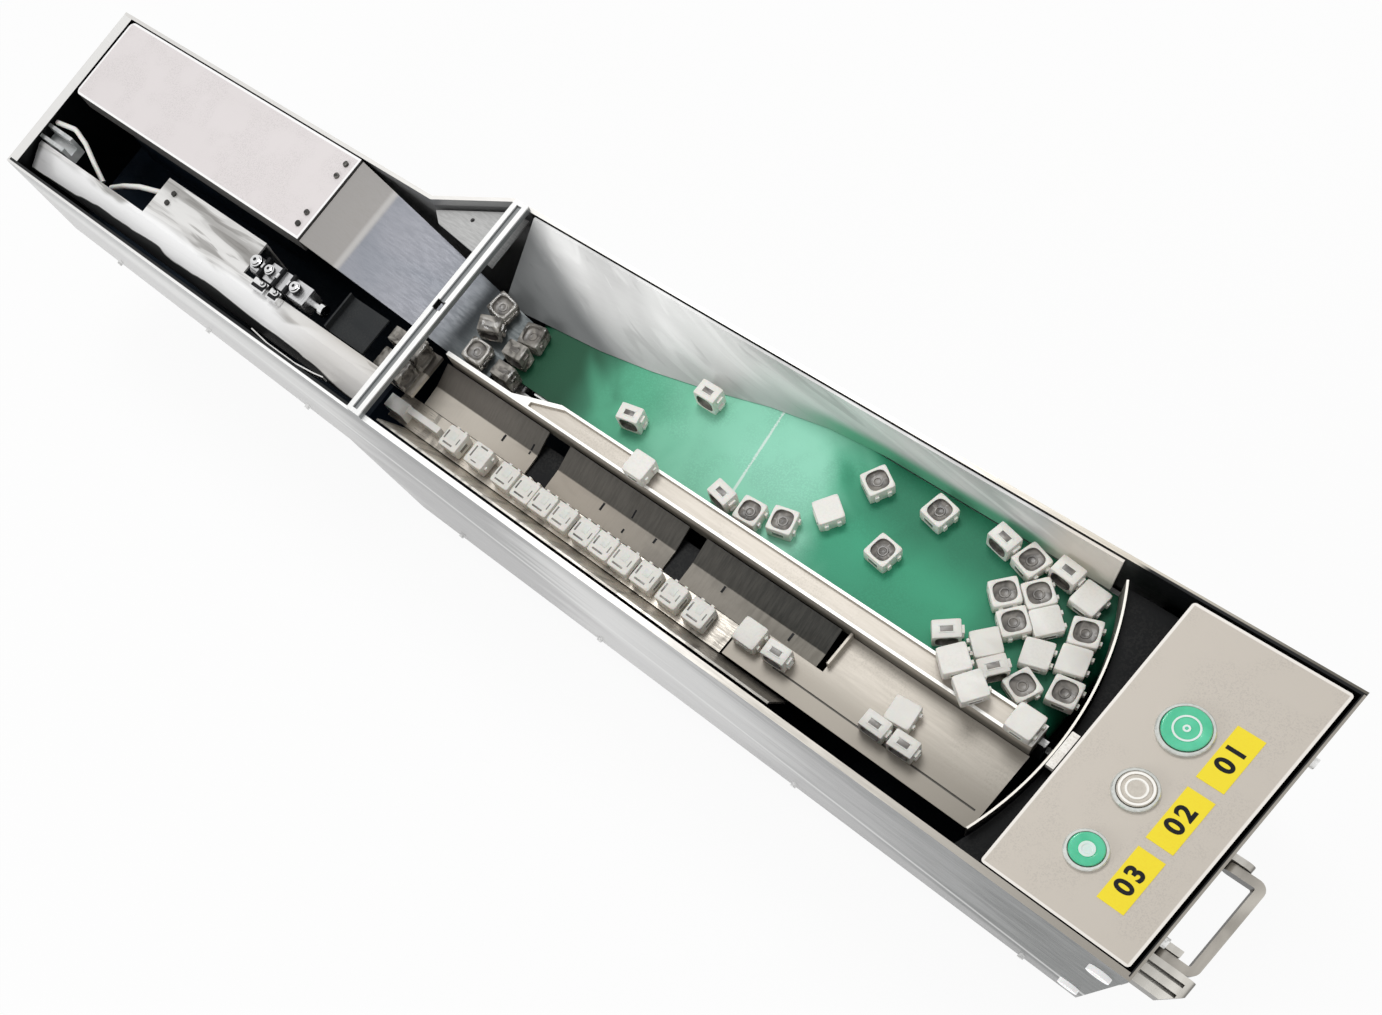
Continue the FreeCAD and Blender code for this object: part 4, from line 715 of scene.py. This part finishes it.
# Painted shade towards the front.
skin = mix(soften(place["X"], 655, 740, 0, 0.8), skin, "3f3d39")
paint(shader, skin)
gloss(shader, grain[0], 0.42, 0.26)
emboss(shader, grain[1], 0.0003, 0.3)
dress(made, "track_guide", "track_lane")
print("track done")


# %% [markdown]
# ## Black parts
# Floor, shelf, sensor plate and everything under the deck are black enamel, rubber or black plastic, and
# the near black of the floor and of the parts under the deck also stands for the deep shade there. Each
# keeps a trace of painted sheen and of dust, because a surface with no variation looks like a hole.


# %% Black finishes
def blackened(name, base, sheen_colour, roughness, *names):
    made, tree, shader = blank(name, Roughness=roughness, Specular_IOR_Level=0.12)
    dust = use(tree, specks, Scale=700, Cut=0.46)
    drift = use(tree, drifting, Scale=9, Sharpness=1.4)
    # The sheen colour is a painted sheen spread by the drifting mask; the specks are dust.
    skin = mix(times(drift[0], 0.6), base, sheen_colour)
    skin = mix(times(dust[0], 0.1), skin, "55534f")
    paint(shader, skin)
    emboss(shader, dust[1], 0.0002, 0.2)
    dress(made, *names)
    return made


# Near black, partly enamel and partly painted shade deep in the box and under the deck.
blackened("floor enamel", "121b26", "202c3a", 0.5, "floor_pan", "controller")
under_deck = ("front_shelf", "track_beam", "vibrator_base", "leaf_springs")
blackened("shelf enamel", "08090a", "121416", 0.45, *under_deck)
blackened("sensor plate black", "26282a", "37393a", 0.35, "sensor_plate")
blackened("rubber", "161616", "242423", 0.7, "rubber_feet", "rubber_cushions", "toothed_belt")
moulded = ("power_inlet", "gearmotor", "button_contacts")
black_plastic = blackened("black plastic", "17181a", "232426", 0.4, *moulded)
made, tree, shader = blank("copper winding", Metallic=0.8, Roughness=0.35)
turns = use(tree, brushed_grain, Stretch=(0.5, 0.5, 26), Scale=40)
paint(shader, mix(turns[0], "6b3418", "b4703c"))
emboss(shader, turns[1], 0.0006, 0.5)
dress(made, "magnet_coil")
print("black parts done")

# %% [markdown]
# ## Turned and bought metal
# Rollers, pulleys, the air cylinder and the screws are turned or cast aluminium and plated steel. The
# screw heads on the cover are dark, so they get their own finish with a bright worn face.

# %% Turned metal
turned = satin_steel("turned aluminium", "a9a9aa", "e2e2e3", (20, 1, 20), 0.3, 0.95)
dress(turned, "idler_roller", "drive_roller", "drive_pulley", "motor_pulley")
dress(turned, "roller_bearings", "escapement_body")
rod_chrome = satin_steel("rod chrome", "c4c4c5", "f4f4f4", (1, 12, 12), 0.14, 1)
dress(rod_chrome, "escapement_rod")
made, tree, shader = blank("screw steel", Metallic=0.7, Roughness=0.35)
place = use(tree, casing_place)
dust = use(tree, specks, Scale=500, Cut=0.45)
inside = times(soften(place["Y"], 40, 44), soften(place["X"], 988, 984))
pale = mix(dust[0], "f6f6f5", "d9d9d8")
paint(shader, mix(inside, pale, mix(dust[0], "3a3937", "7b7975")))
emboss(shader, dust[1], 0.0002, 0.4)
dress(made, "small_screws")
print("metal done")


# %% [markdown]
# ## White plastic
# The air tubes, the stop on the lane and the grommets are natural nylon: white, a little translucent,
# and softly shiny. Subsurface light keeps thin edges from going grey.


# %% White plastic
def nylon(name, base, scuffed, roughness, scatter):
    made, tree, shader = blank(
        name, Roughness=roughness, Subsurface_Weight=scatter, Subsurface_Scale=0.002, Specular_IOR_Level=0.4
    )
    marks = use(tree, specks, Scale=650, Cut=0.48)
    drift = use(tree, drifting, Stretch=(1, 1, 1), Scale=40, Sharpness=1.2)
    skin = mix(times(drift[0], 0.6), base, scuffed)
    paint(shader, mix(times(marks[0], 0.06), skin, "a8a49c"))
    emboss(shader, marks[1], 0.00008, 0.15)
    return made


dress(nylon("nylon", "f4f3ef", "dedcd6", 0.32, 0.15), "air_tubes", "lane_stop")
plug_white = nylon("grommet nylon", "ffffff", "f4f4f2", 0.4, 0.1)
plug_shader = plug_white.node_tree.nodes["Principled BSDF"].inputs
# Painted light: a faint white glow keeps the grommets white where they stand in shade.
plug_shader["Emission Color"].default_value = (1, 1, 1, 1)
plug_shader["Emission Strength"].default_value = 0.35
dress(plug_white, "side_grommets")
acrylic = {"Roughness": 0.25, "Transmission_Weight": 0.35, "IOR": 1.49}
dress(mottled("clear acrylic", "cfd4d4", "ffffff", 60, 2, 0.001, 0.3, **acrylic), "air_block")
made, tree, shader = blank("yellow tape", Roughness=0.42)
fibres = use(tree, specks, Scale=800, Cut=0.5)
paint(shader, mix(times(fibres[0], 0.12), "ffe81e", "f5cf10"))
emboss(shader, fibres[1], 0.0001, 0.2)
dress(made, "labels")
print("plastic done")


# %% [markdown]
# ## Building pieces
# New pieces are meshes of lofted rings and bevelled bars. A small builder gathers them, remembers which
# material each face takes, and leaves smooth shading with sharp edges where the shape turns hard.


# %% Mesh builder
SHARP = math.radians(28)
UNTURNED = Matrix()


class Shape:
    """Vertices, faces and their material numbers, in casing millimetres about any origin."""

    def __init__(self):
        self.points, self.faces, self.paints = [], [], []

    def loft(self, rings, paints, turn=UNTURNED):
        """Joins rings of equal count one after another, and closes both ends."""
        count, start = len(rings[0]), len(self.points)
        for ring in rings:
            self.points += [turn @ Vector(p) for p in ring]
        for i, paint in enumerate(paints):
            for j in range(count):
                a, b = start + i * count + j, start + i * count + (j + 1) % count
                self.faces.append((a, b, b + count, a + count))
                self.paints.append(paint)
        self.faces.append(tuple(range(start + count - 1, start - 1, -1)))
        self.faces.append(tuple(range(len(self.points) - count, len(self.points))))
        self.paints += [paints[0], paints[-1]]

    def bar(self, low, high, soft, paint=0, turn=UNTURNED):
        """A bar between two corners with its edges bevelled by soft."""
        tool = bmesh.new()
        bmesh.ops.create_cube(tool, size=1)
        size, middle = Vector(high) - Vector(low), (Vector(low) + Vector(high)) / 2
        bmesh.ops.scale(tool, vec=size, verts=tool.verts)
        bmesh.ops.translate(tool, vec=middle, verts=tool.verts)
        bmesh.ops.bevel(tool, geom=tool.edges[:], offset=soft, segments=2, affect="EDGES", profile=0.7)
        self.take(tool, paint, turn)

    def take(self, tool, paint, turn=UNTURNED):
        """Takes over another mesh's faces."""
        start = len(self.points)
        tool.verts.index_update()
        self.points += [turn @ v.co for v in tool.verts]
        self.faces += [tuple(start + v.index for v in f.verts) for f in tool.faces]
        self.paints += [paint] * len(tool.faces)
        tool.free()

    def stamp(self, other, turn):
        """Takes a copy of another shape, turned and moved."""
        start = len(self.points)
        self.points += [turn @ p for p in other.points]
        self.faces += [tuple(start + i for i in f) for f in other.faces]
        self.paints += other.paints

    def piece(self, name, body, slot, *materials, origin=RIM_CORNER, unit=MM):
        """The finished object, riding on its body."""
        mesh = bpy.data.meshes.new(name)
        mesh.from_pydata([origin + p * unit for p in self.points], [], self.faces)
        for material in materials:
            mesh.materials.append(material)
        mesh.polygons.foreach_set("material_index", self.paints)
        mesh.polygons.foreach_set("use_smooth", [True] * len(self.faces))
        mesh.set_sharp_from_angle(angle=SHARP)
        mesh.update()
        made = placed(name, mesh)
        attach(made, body)
        print(name, len(self.faces), "faces on", body)
        return made


def ring(reach, squareness, height, count=48):
    """A closed ring that goes from a circle at squareness 2 to nearly a square at 10."""
    points = []
    for i in range(count):
        turn = 2 * math.pi * i / count
        across, along = math.cos(turn), math.sin(turn)
        size = (abs(across) ** squareness + abs(along) ** squareness) ** (-1 / squareness)
        points.append((reach * size * across, reach * size * along, height))
    return points


# %% [markdown]
# ## One cap
# A cap is a square closure 16 mm wide and 11 mm high with a round recess and a grey sealing liner in
# it, two hinge pegs on one side and a small window in the others. The caps in the row lie face down, so
# theirs also show the dark moulded slots and the raised pad of the underside. A loft of rings, from a
# squarish bottom to a round recess, gives the body with every edge softly rolled, which a plain box
# never has.

# %% Cap shape
WHITE, LINER = 0, 1
PEG_SHIFT = 0.8  # half of what the pegs add to the cap's length
cap = Shape()
cap_rings = [
    (7.5, 12, -5.5), (7.85, 14, -5.3), (8, 16, -4.9), (8, 16, 4.9), (7.85, 14, 5.3), (7.5, 12, 5.5),
    (6.5, 3.2, 5.5), (6.2, 3, 5.3), (5.9, 2.8, 3.3), (5.6, 2.5, 3.1),
    (3.3, 2, 2.9), (3, 2, 3.4), (2.3, 2, 3.4), (2, 2, 2.9), (0.6, 2, 2.7),
]
cap.loft([ring(*r) for r in cap_rings], [WHITE] * 7 + [LINER] * 7)
for low in (-5, 2.6):
    cap.bar((7.5, low, -2.5), (9.6, low + 2.4, 2.5), 0.4)
for side in (-1, 1):
    face = side * 7.95
    window = sorted((face - 0.25, face + 0.25))
    cap.bar((-3.4, window[0], -1.4), (3.4, window[1], 2), 0.15, LINER)
    frame_high = sorted((face - 0.3, face + 0.45))
    for low, high in (((-4.2, -2), (4.2, -1.4)), ((-4.2, 2), (4.2, 2.6))):
        cap.bar((low[0], frame_high[0], low[1]), (high[0], frame_high[1], high[1]), 0.15)
row_cap = Shape()
row_cap.stamp(cap, UNTURNED)
for low, high in (((-5.6, -5), (-4.4, 3.4)), ((-2.6, -6.6), (3.8, -5.4)), ((-2.6, 4.9), (2.2, 5.7))):
    row_cap.bar((low[0], low[1], -5.6), (high[0], high[1], -5.2), 0.1, LINER)
row_cap.bar((-0.8, -2.2, -5.75), (4.6, 2.4, -5.2), 0.25)
print("one cap has", len(cap.faces), "faces, and", len(row_cap.faces), "in the row")

# %% [markdown]
# ## Where each cap lies
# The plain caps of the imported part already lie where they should. Each one's place can be read back from
# its own mesh: its widest faces give the axis of the recess, the pegs give its side, and since more
# points lie round the recess, the points' mean tells top from bottom.


# %% Reading the caps' places
def separate(node):
    """The node's points, one set for each solid in it."""
    tool = bmesh.new()
    tool.from_mesh(nodes[node].data)
    bmesh.ops.remove_doubles(tool, verts=tool.verts, dist=1e-5)
    left, groups = set(tool.verts), []
    while left:
        island, front = set(), [left.pop()]
        while front:
            vert = front.pop()
            island.add(vert)
            near = {e.other_vert(vert) for e in vert.link_edges} - island
            front += [v for v in near if v in left]
            left -= near
        faces = {f for v in island for f in v.link_faces}
        groups.append(([v.co.copy() for v in island], [(f.normal.copy(), f.calc_area()) for f in faces]))
    tool.free()
    return groups


def cap_place(points, faces):
    """The turn and place that bring the cap shape onto this solid."""
    upright = max(faces, key=lambda f: sum(a for n, a in faces if abs(n.dot(f[0])) > 0.99))[0]
    flat = [n for n, a in faces if abs(n.dot(upright)) < 0.05 and a > 1e-5]
    reach = {}
    for i, way in enumerate(flat):
        along = [p.dot(way) for p in points]
        reach[i] = max(along) - min(along)
    pegs = flat[max(reach, key=reach.get)]
    axes = []
    for way, sign in ((upright, 1), (pegs, -1)):
        along = [p.dot(way) for p in points]
        middle = (max(along) + min(along)) / 2
        axes.append(way * (1 if sign * (sum(along) / len(along) - middle) > 0 else -1))
    up, side = axes
    across = up.cross(side)
    turn = Matrix((side, across, up)).transposed()
    local = [turn.transposed() @ p for p in points]
    middle = Vector([(max(p[i] for p in local) + min(p[i] for p in local)) / 2 for i in range(3)])
    middle.x -= PEG_SHIFT * MM
    return Matrix.Translation(turn @ middle) @ turn.to_4x4() @ Matrix.Scale(MM, 4)


lying = [cap_place(*island) for island in separate("loose_caps")]
queued = [cap_place(*island) for island in separate("queued_caps")]
print(len(lying), "caps lie loose and", len(queued), "stand in the row")

# %% [markdown]
# ## Cap plastic and liner
# The caps are moulded in white plastic with a waxy sheen and a grey rubber liner. Those behind the cross
# bar are of a smoky translucent batch and lie in shade, so they get a darker, glassy version of the same
# plastic that is partly smoke and partly painted shade.

# %% Cap materials
cap_white = nylon("cap plastic", "f1efe9", "e0ddd5", 0.42, 0.12)
cap_liner = mottled("cap liner", "4b4743", "8b867f", 120, 2.4, 0.0008, 0.4, Roughness=0.3)
glassy = {"Roughness": 0.16, "Transmission_Weight": 0.45, "IOR": 1.45}
# A darker copy of the cap plastic: partly smoky plastic, partly painted shade.
smoky_and_shaded = mottled("smoky plastic", "5c5852", "cfcac1", 90, 3, 0.0015, 0.4, **glassy)
print("cap materials done")

# %% [markdown]
# ## Placing the caps
# All caps of one finish are stamped into one mesh. The loose ones ride on the casing and the row rides
# on the vibrating track, so the row shakes with it.

# %% Caps
ORIGIN = Vector((0, 0, 0))
CHUTE_END = spot(486, 0).x
white_caps, smoky_shaded_caps, row_caps = Shape(), Shape(), Shape()
# Caps behind the cross bar take the darker copy, partly painted shade.
for turn in lying:
    (smoky_shaded_caps if turn.translation.x < CHUTE_END else white_caps).stamp(cap, turn)
for turn in queued:
    row_caps.stamp(row_cap, turn)
white = white_caps.piece("white_caps", "casing", "cap_white", cap_white, cap_liner, origin=ORIGIN, unit=1)
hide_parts("loose_caps")
smoky_shaded_object = smoky_shaded_caps.piece("smoky_shaded_caps", "casing", "cap_white", smoky_and_shaded, cap_liner, origin=ORIGIN, unit=1)
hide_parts("loose_caps")
row = row_caps.piece(
    "row_of_caps", "vibrating_track", "cap_white", cap_white, cap_liner, origin=ORIGIN, unit=1
)
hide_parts("queued_caps")


# %% [markdown]
# ## The push buttons
# Each button is a turned stack: a plated bezel on the panel, and a lens in it that moves down when
# pressed. The green lenses carry a pale ring, and the metal one is cut with fine concentric steps. Spun
# profiles give true circles with rolled lips.


# %% Turned shapes
def turned_shape(profile, x, y, drop, paints=None):
    """A profile of (radius, height) points spun about the upright line through x, y."""
    made = Shape()
    place = Matrix.Translation(Vector((x, y, -drop)))
    rings = [ring(max(radius, 0.02), 2, height, 64) for radius, height in profile]
    made.loft(rings, paints or [0] * (len(rings) - 1), place)
    return made


def box_middle(node):
    """The middle of a node in casing millimetres, and half its width."""
    low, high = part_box(node)
    middle = ((low + high) / 2 - RIM_CORNER) / MM
    return middle.x, middle.y, (high.x - low.x) / 2 / MM


PANEL = -0.5
bezel_steel = satin_steel("bezel plate", "b4b5b0", "f2f5f1", (8, 8, 8), 0.15, 0.45)
bezels = Shape()
for node in ("button_start", "button_stop", "button_reset"):
    x, y, radius = box_middle(node)
    outer = {"button_start": 13.8, "button_stop": 11.4, "button_reset": 10.9}[node]
    inner = outer - 2.1
    lip = [(inner, 0), (inner, 2.5), (inner + 0.3, 3), (outer - 0.7, 3), (outer - 0.1, 2.3)]
    lip += [(outer, 0.4), (outer, 0)]
    hoop = Shape()
    place = Matrix.Translation(Vector((x, y, -PANEL)))
    hoop.loft([ring(r, 2, h, 64) for r, h in lip + lip[:1]], [0] * len(lip), place)
    hoop.faces, hoop.paints = hoop.faces[:-2], hoop.paints[:-2]
    bezels.stamp(hoop, UNTURNED)
bezel = bezels.piece("bezels", "casing", "metal_button", bezel_steel)
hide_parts("button_bezels")

# %% [markdown]
# The green lens is tinted acrylic over a lamp, so it is glossy and a little lit from within by scattered
# light. The pale ring stands proud on it as its own turned step.


# %% Button lenses
def lens_plastic(name, base, light):
    sockets = {"Roughness": 0.16, "Coat_Weight": 0.6, "Subsurface_Weight": 0.1, "Subsurface_Scale": 0.002}
    return mottled(name, base, light, 45, 2, 0.0006, 0.2, **sockets)


def button_shape(node, face, paints):
    """A straight body, from under the panel up to the rim of its turned face."""
    x, y, radius = box_middle(node)
    return turned_shape([(radius, -5), (radius, 3.4)] + face, x, y, PANEL, paints)


green_lens = lens_plastic("green lens", "3cc795", "5cd9ac")
pale_ring = lens_plastic("pale ring", "dff2ea", "f6fbf9")
face = [
    (11.5, 3.5), (11.5, 4), (11, 4.6), (10.3, 4.7), (7, 4.3), (6.8, 4.7),
    (5.8, 4.7), (5.6, 4.2), (2.2, 4.3), (1.9, 4.6), (0.9, 4.6), (0, 4.4),
]
paints = [0, 0, 0, 0, 0, 0, 0, 1, 0, 0, 0, 1, 0]
start = button_shape("button_start", face, paints)
start = start.piece("start_lens", "start_button", "green_button", green_lens, pale_ring)
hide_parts("button_start")
face = [
    (8.6, 3.5), (8.6, 4), (8.1, 4.6), (7.4, 4.7), (4.3, 4.3), (4, 4.8), (2.6, 4.8), (2.3, 4.5), (0, 4.4),
]
paints = [0, 0, 0, 0, 0, 0, 0, 1, 1, 1]
reset = button_shape("button_reset", face, paints)
reset = reset.piece("reset_lens", "reset_button", "green_button", green_lens, pale_ring)
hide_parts("button_reset")
face = [
    (9.1, 3.5), (9.1, 4.2), (8.6, 4.7), (7.4, 4.7), (7, 4), (5.6, 4), (5.4, 4.7), (4.5, 4.7),
    (4.2, 4.2), (0, 4.2),
]
knob_metal = satin_steel("knob metal", "b3aca1", "d8d1c6", (8, 8, 8), 0.35, 0.2)
knob_rings = satin_steel("knob rings", "f1eee7", "fdfbf6", (8, 8, 8), 0.4, 0.2)
paints = [0, 0, 1, 0, 1, 0, 0, 1, 1, 1, 0]
stop = button_shape("button_stop", face, paints)
stop = stop.piece("stop_knob", "stop_button", "metal_button", knob_metal, knob_rings)
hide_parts("button_stop")

# %% [markdown]
# ## Numbers on the tapes
# Each button has a strip of yellow tape beside it with a printed number. A text object turned into a
# mesh keeps the digits crisp, and they stand a tenth of a millimetre proud like thick ink. They read
# from the front of the feeder, where its user stands.

# %% Tape numbers
DIGIT_HEIGHT, STROKE, INK = 13, 0.45, 0.05
ink = blackened("ink", "15171a", "22252a", 0.5)
low, high = ((end - RIM_CORNER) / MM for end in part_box("labels"))
tape_middle = (low.x + high.x) / 2
for number, node in enumerate(("button_start", "button_stop", "button_reset"), start=1):
    words = bpy.data.curves.new(f"number_{number}", "FONT")
    words.body = f"0{number}"
    words.size, words.offset, words.extrude = DIGIT_HEIGHT * MM, STROKE * MM, INK * MM
    words.space_character = 1.3
    words.align_x, words.align_y = "CENTER", "CENTER"
    text = placed(words.name, words)
    bpy.context.view_layer.update()
    mesh = bpy.data.meshes.new_from_object(text.evaluated_get(bpy.context.evaluated_depsgraph_get()))
    bpy.data.objects.remove(text)
    mesh.materials.clear()
    mesh.materials.append(ink)
    digits = placed(f"tape_number_{number}", mesh)
    facing_front = Matrix(((0, -1, 0), (1, 0, 0), (0, 0, 1))).to_4x4()
    mesh.transform(Matrix.Translation(spot(tape_middle, box_middle(node)[1], PANEL - 0.36)) @ facing_front)
    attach(digits, "casing")
print("three tapes numbered")

# %% [markdown]
# ## Small fittings
# The air cylinder carries push-in fittings with dark collars and bolted clamps, and two small valves sit
# beside it on the sheet. They are turned and bevelled shapes placed from the cylinder's own box.

# %% Cylinder fittings
low, high = ((end - RIM_CORNER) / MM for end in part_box("escapement_body"))
middle_y = (low.y + high.y) / 2
fittings = Shape()
DARK, BRIGHT = 0, 1
for x, wide in ((low.x + 7, 4.6), (low.x + 22, 3.8), (high.x - 12, 4.2)):
    collar, neck = wide * 0.82, wide * 0.6
    nut = [(wide, -1), (wide, 1.6), (collar, 2), (collar, 3.2), (neck, 3.6), (neck / 2, 3.6), (0, 3.3)]
    paints = [DARK, BRIGHT, DARK, BRIGHT, BRIGHT, DARK]
    fittings.stamp(turned_shape(nut, x, middle_y, -high.z, paints), UNTURNED)
for x in (low.x + 13.5, low.x + 30, high.x - 20):
    fittings.bar((x, low.y - 0.8, low.z + 2), (x + 2.6, high.y + 0.8, high.z + 0.9), 0.4, DARK)
    fittings.bar((x + 0.4, middle_y - 2, high.z + 0.6), (x + 2.2, middle_y + 2, high.z + 1.9), 0.3, BRIGHT)
deck = -9
for x, long in ((low.x + 12, 15), (low.x + 30, 11)):
    fittings.bar((x, low.y - 9.5, deck), (x + long, low.y - 1.2, deck + 6.5), 0.9, BRIGHT)
    fittings.bar((x + 1.5, low.y - 8.2, deck + 6.3), (x + long - 1.5, low.y - 5.6, deck + 7.2), 0.3, DARK)
    elbow = [(2.2, 0), (2.2, 2), (1.6, 2.4), (1.6, 3.4), (1.1, 3.8), (0, 3.8)]
    paints = [DARK, BRIGHT, BRIGHT, DARK, BRIGHT]
    fittings.stamp(turned_shape(elbow, x + long - 3, low.y - 3.6, -deck - 6.3, paints), UNTURNED)
fittings.piece("cylinder_fittings", "casing", "black_plastic", black_plastic, rod_chrome)

# %% [markdown]
# ## Slots in the track
# Short slots cut the segments where a cap that lies wrongly falls through. Shallow dark inlays that lie
# flush in the sheet show as the same thin black marks, painted shade of the open slots. They follow the
# segments' two facets.

# %% Track slots
slots = Shape()
FACET_EDGES = (41.4, 56, 72)
FACET_DROPS = (45, 43.4, 36.5)


def facet_drop(y):
    """How deep the segments' surface lies below the rim at this y."""
    i = 0 if y < FACET_EDGES[1] else 1
    share = (y - FACET_EDGES[i]) / (FACET_EDGES[i + 1] - FACET_EDGES[i])
    return FACET_DROPS[i] + share * (FACET_DROPS[i + 1] - FACET_DROPS[i])


# Black inlays that paint the shade of the open slots.
for x, start, end, wide in (
    (500, 50.6, 55.6, 1.8), (523, 53.6, 55.8, 1.4), (590, 50, 55.6, 1.6), (612, 46, 49, 1.4),
    (634, 52, 55.6, 1.6), (690, 51, 55.6, 1.6), (716, 44, 48, 1.4), (742, 50, 55.6, 1.6),
    (523, 56.4, 61, 1.4), (612, 57, 63, 1.2),
):
    middle = Vector((x, (start + end) / 2, -facet_drop((start + end) / 2)))
    rise = math.atan2(facet_drop(start) - facet_drop(end), end - start)
    turn = Matrix.Translation(middle) @ Matrix.Rotation(rise, 4, "X")
    half = (end - start) / 2
    slots.bar((-wide / 2, -half, -0.5), (wide / 2, half, 0.12), 0.08, 0, turn)
slots.piece("track_slots", "vibrating_track", "black_steel", black_plastic)

# %% [markdown]
# ## Floor and light
# The feeder stands on a pale floor under two large soft lamps and a bright sky. The lamps and the sky
# light it so that a colour comes out about as it is written. The camera and the metal see plain white
# around it, which Light Path picks out.

# %% Sky
def seen_straight(tree):
    """1 for rays from the camera, or by way of a reflection or through something clear."""
    rays = add(tree, "LightPath", {}).outputs
    seen = sums("MAXIMUM", rays["Is Camera Ray"], rays["Is Glossy Ray"])
    return sums("MAXIMUM", seen, rays["Is Transmission Ray"])


SKY_LIGHT, SKY_SEEN = 0.5, 1
sky = bpy.data.worlds.new("sky")
bpy.context.scene.world = sky
sky.use_nodes = True
tree = sky.node_tree
power = plus(times(seen_straight(tree), SKY_SEEN - SKY_LIGHT), SKY_LIGHT)
tree.links.new(power, tree.nodes["Background"].inputs["Strength"])
tree.nodes["Background"].inputs["Color"].default_value = (1, 1, 1, 1)


# %% Lamps
def softbox(name, place, aim, size, watts):
    lamp = bpy.data.lights.new(name, "AREA")
    lamp.shape, lamp.size, lamp.energy = "DISK", size, watts
    made = placed(name, lamp)
    made.location = place
    made.rotation_euler = (Vector(aim) - Vector(place)).to_track_quat("-Z", "Y").to_euler()


softbox("overhead lamp", (-0.3, 0.5, 1.9), (0, 0, 0.15), 0.7, 13)
softbox("side lamp", (-0.6, -1.8, 1.2), (0, 0, 0.1), 0.9, 9)
print("two lamps")

# %% [markdown]
# The floor is one large sheet of pale board. To the camera it is mostly plain white, with enough of its
# real shading mixed in to keep the feeder's soft shadow.

# %% Floor
WHITE_SHARE, REACH = 0.93, 6
mesh = bpy.data.meshes.new("floor")
corners = [(-REACH, -REACH, 0), (REACH, -REACH, 0), (REACH, REACH, 0), (-REACH, REACH, 0)]
mesh.from_pydata(corners, [], [(0, 1, 2, 3)])
floor = placed("floor", mesh)
made, tree, shader = blank("floor board", Roughness=0.9)
shader.inputs["Base Color"].default_value = (0.85, 0.85, 0.85, 1)
white_card = add(tree, "Emission", {"Color": (1, 1, 1, 1), "Strength": 1}).outputs[0]
share = times(seen_straight(tree), WHITE_SHARE)
blend = add(tree, "MixShader", {0: share, 1: shader.outputs[0], 2: white_card}).outputs[0]
tree.links.new(blend, tree.nodes["Material Output"].inputs["Surface"])
mesh.materials.append(made)
print("floor laid")
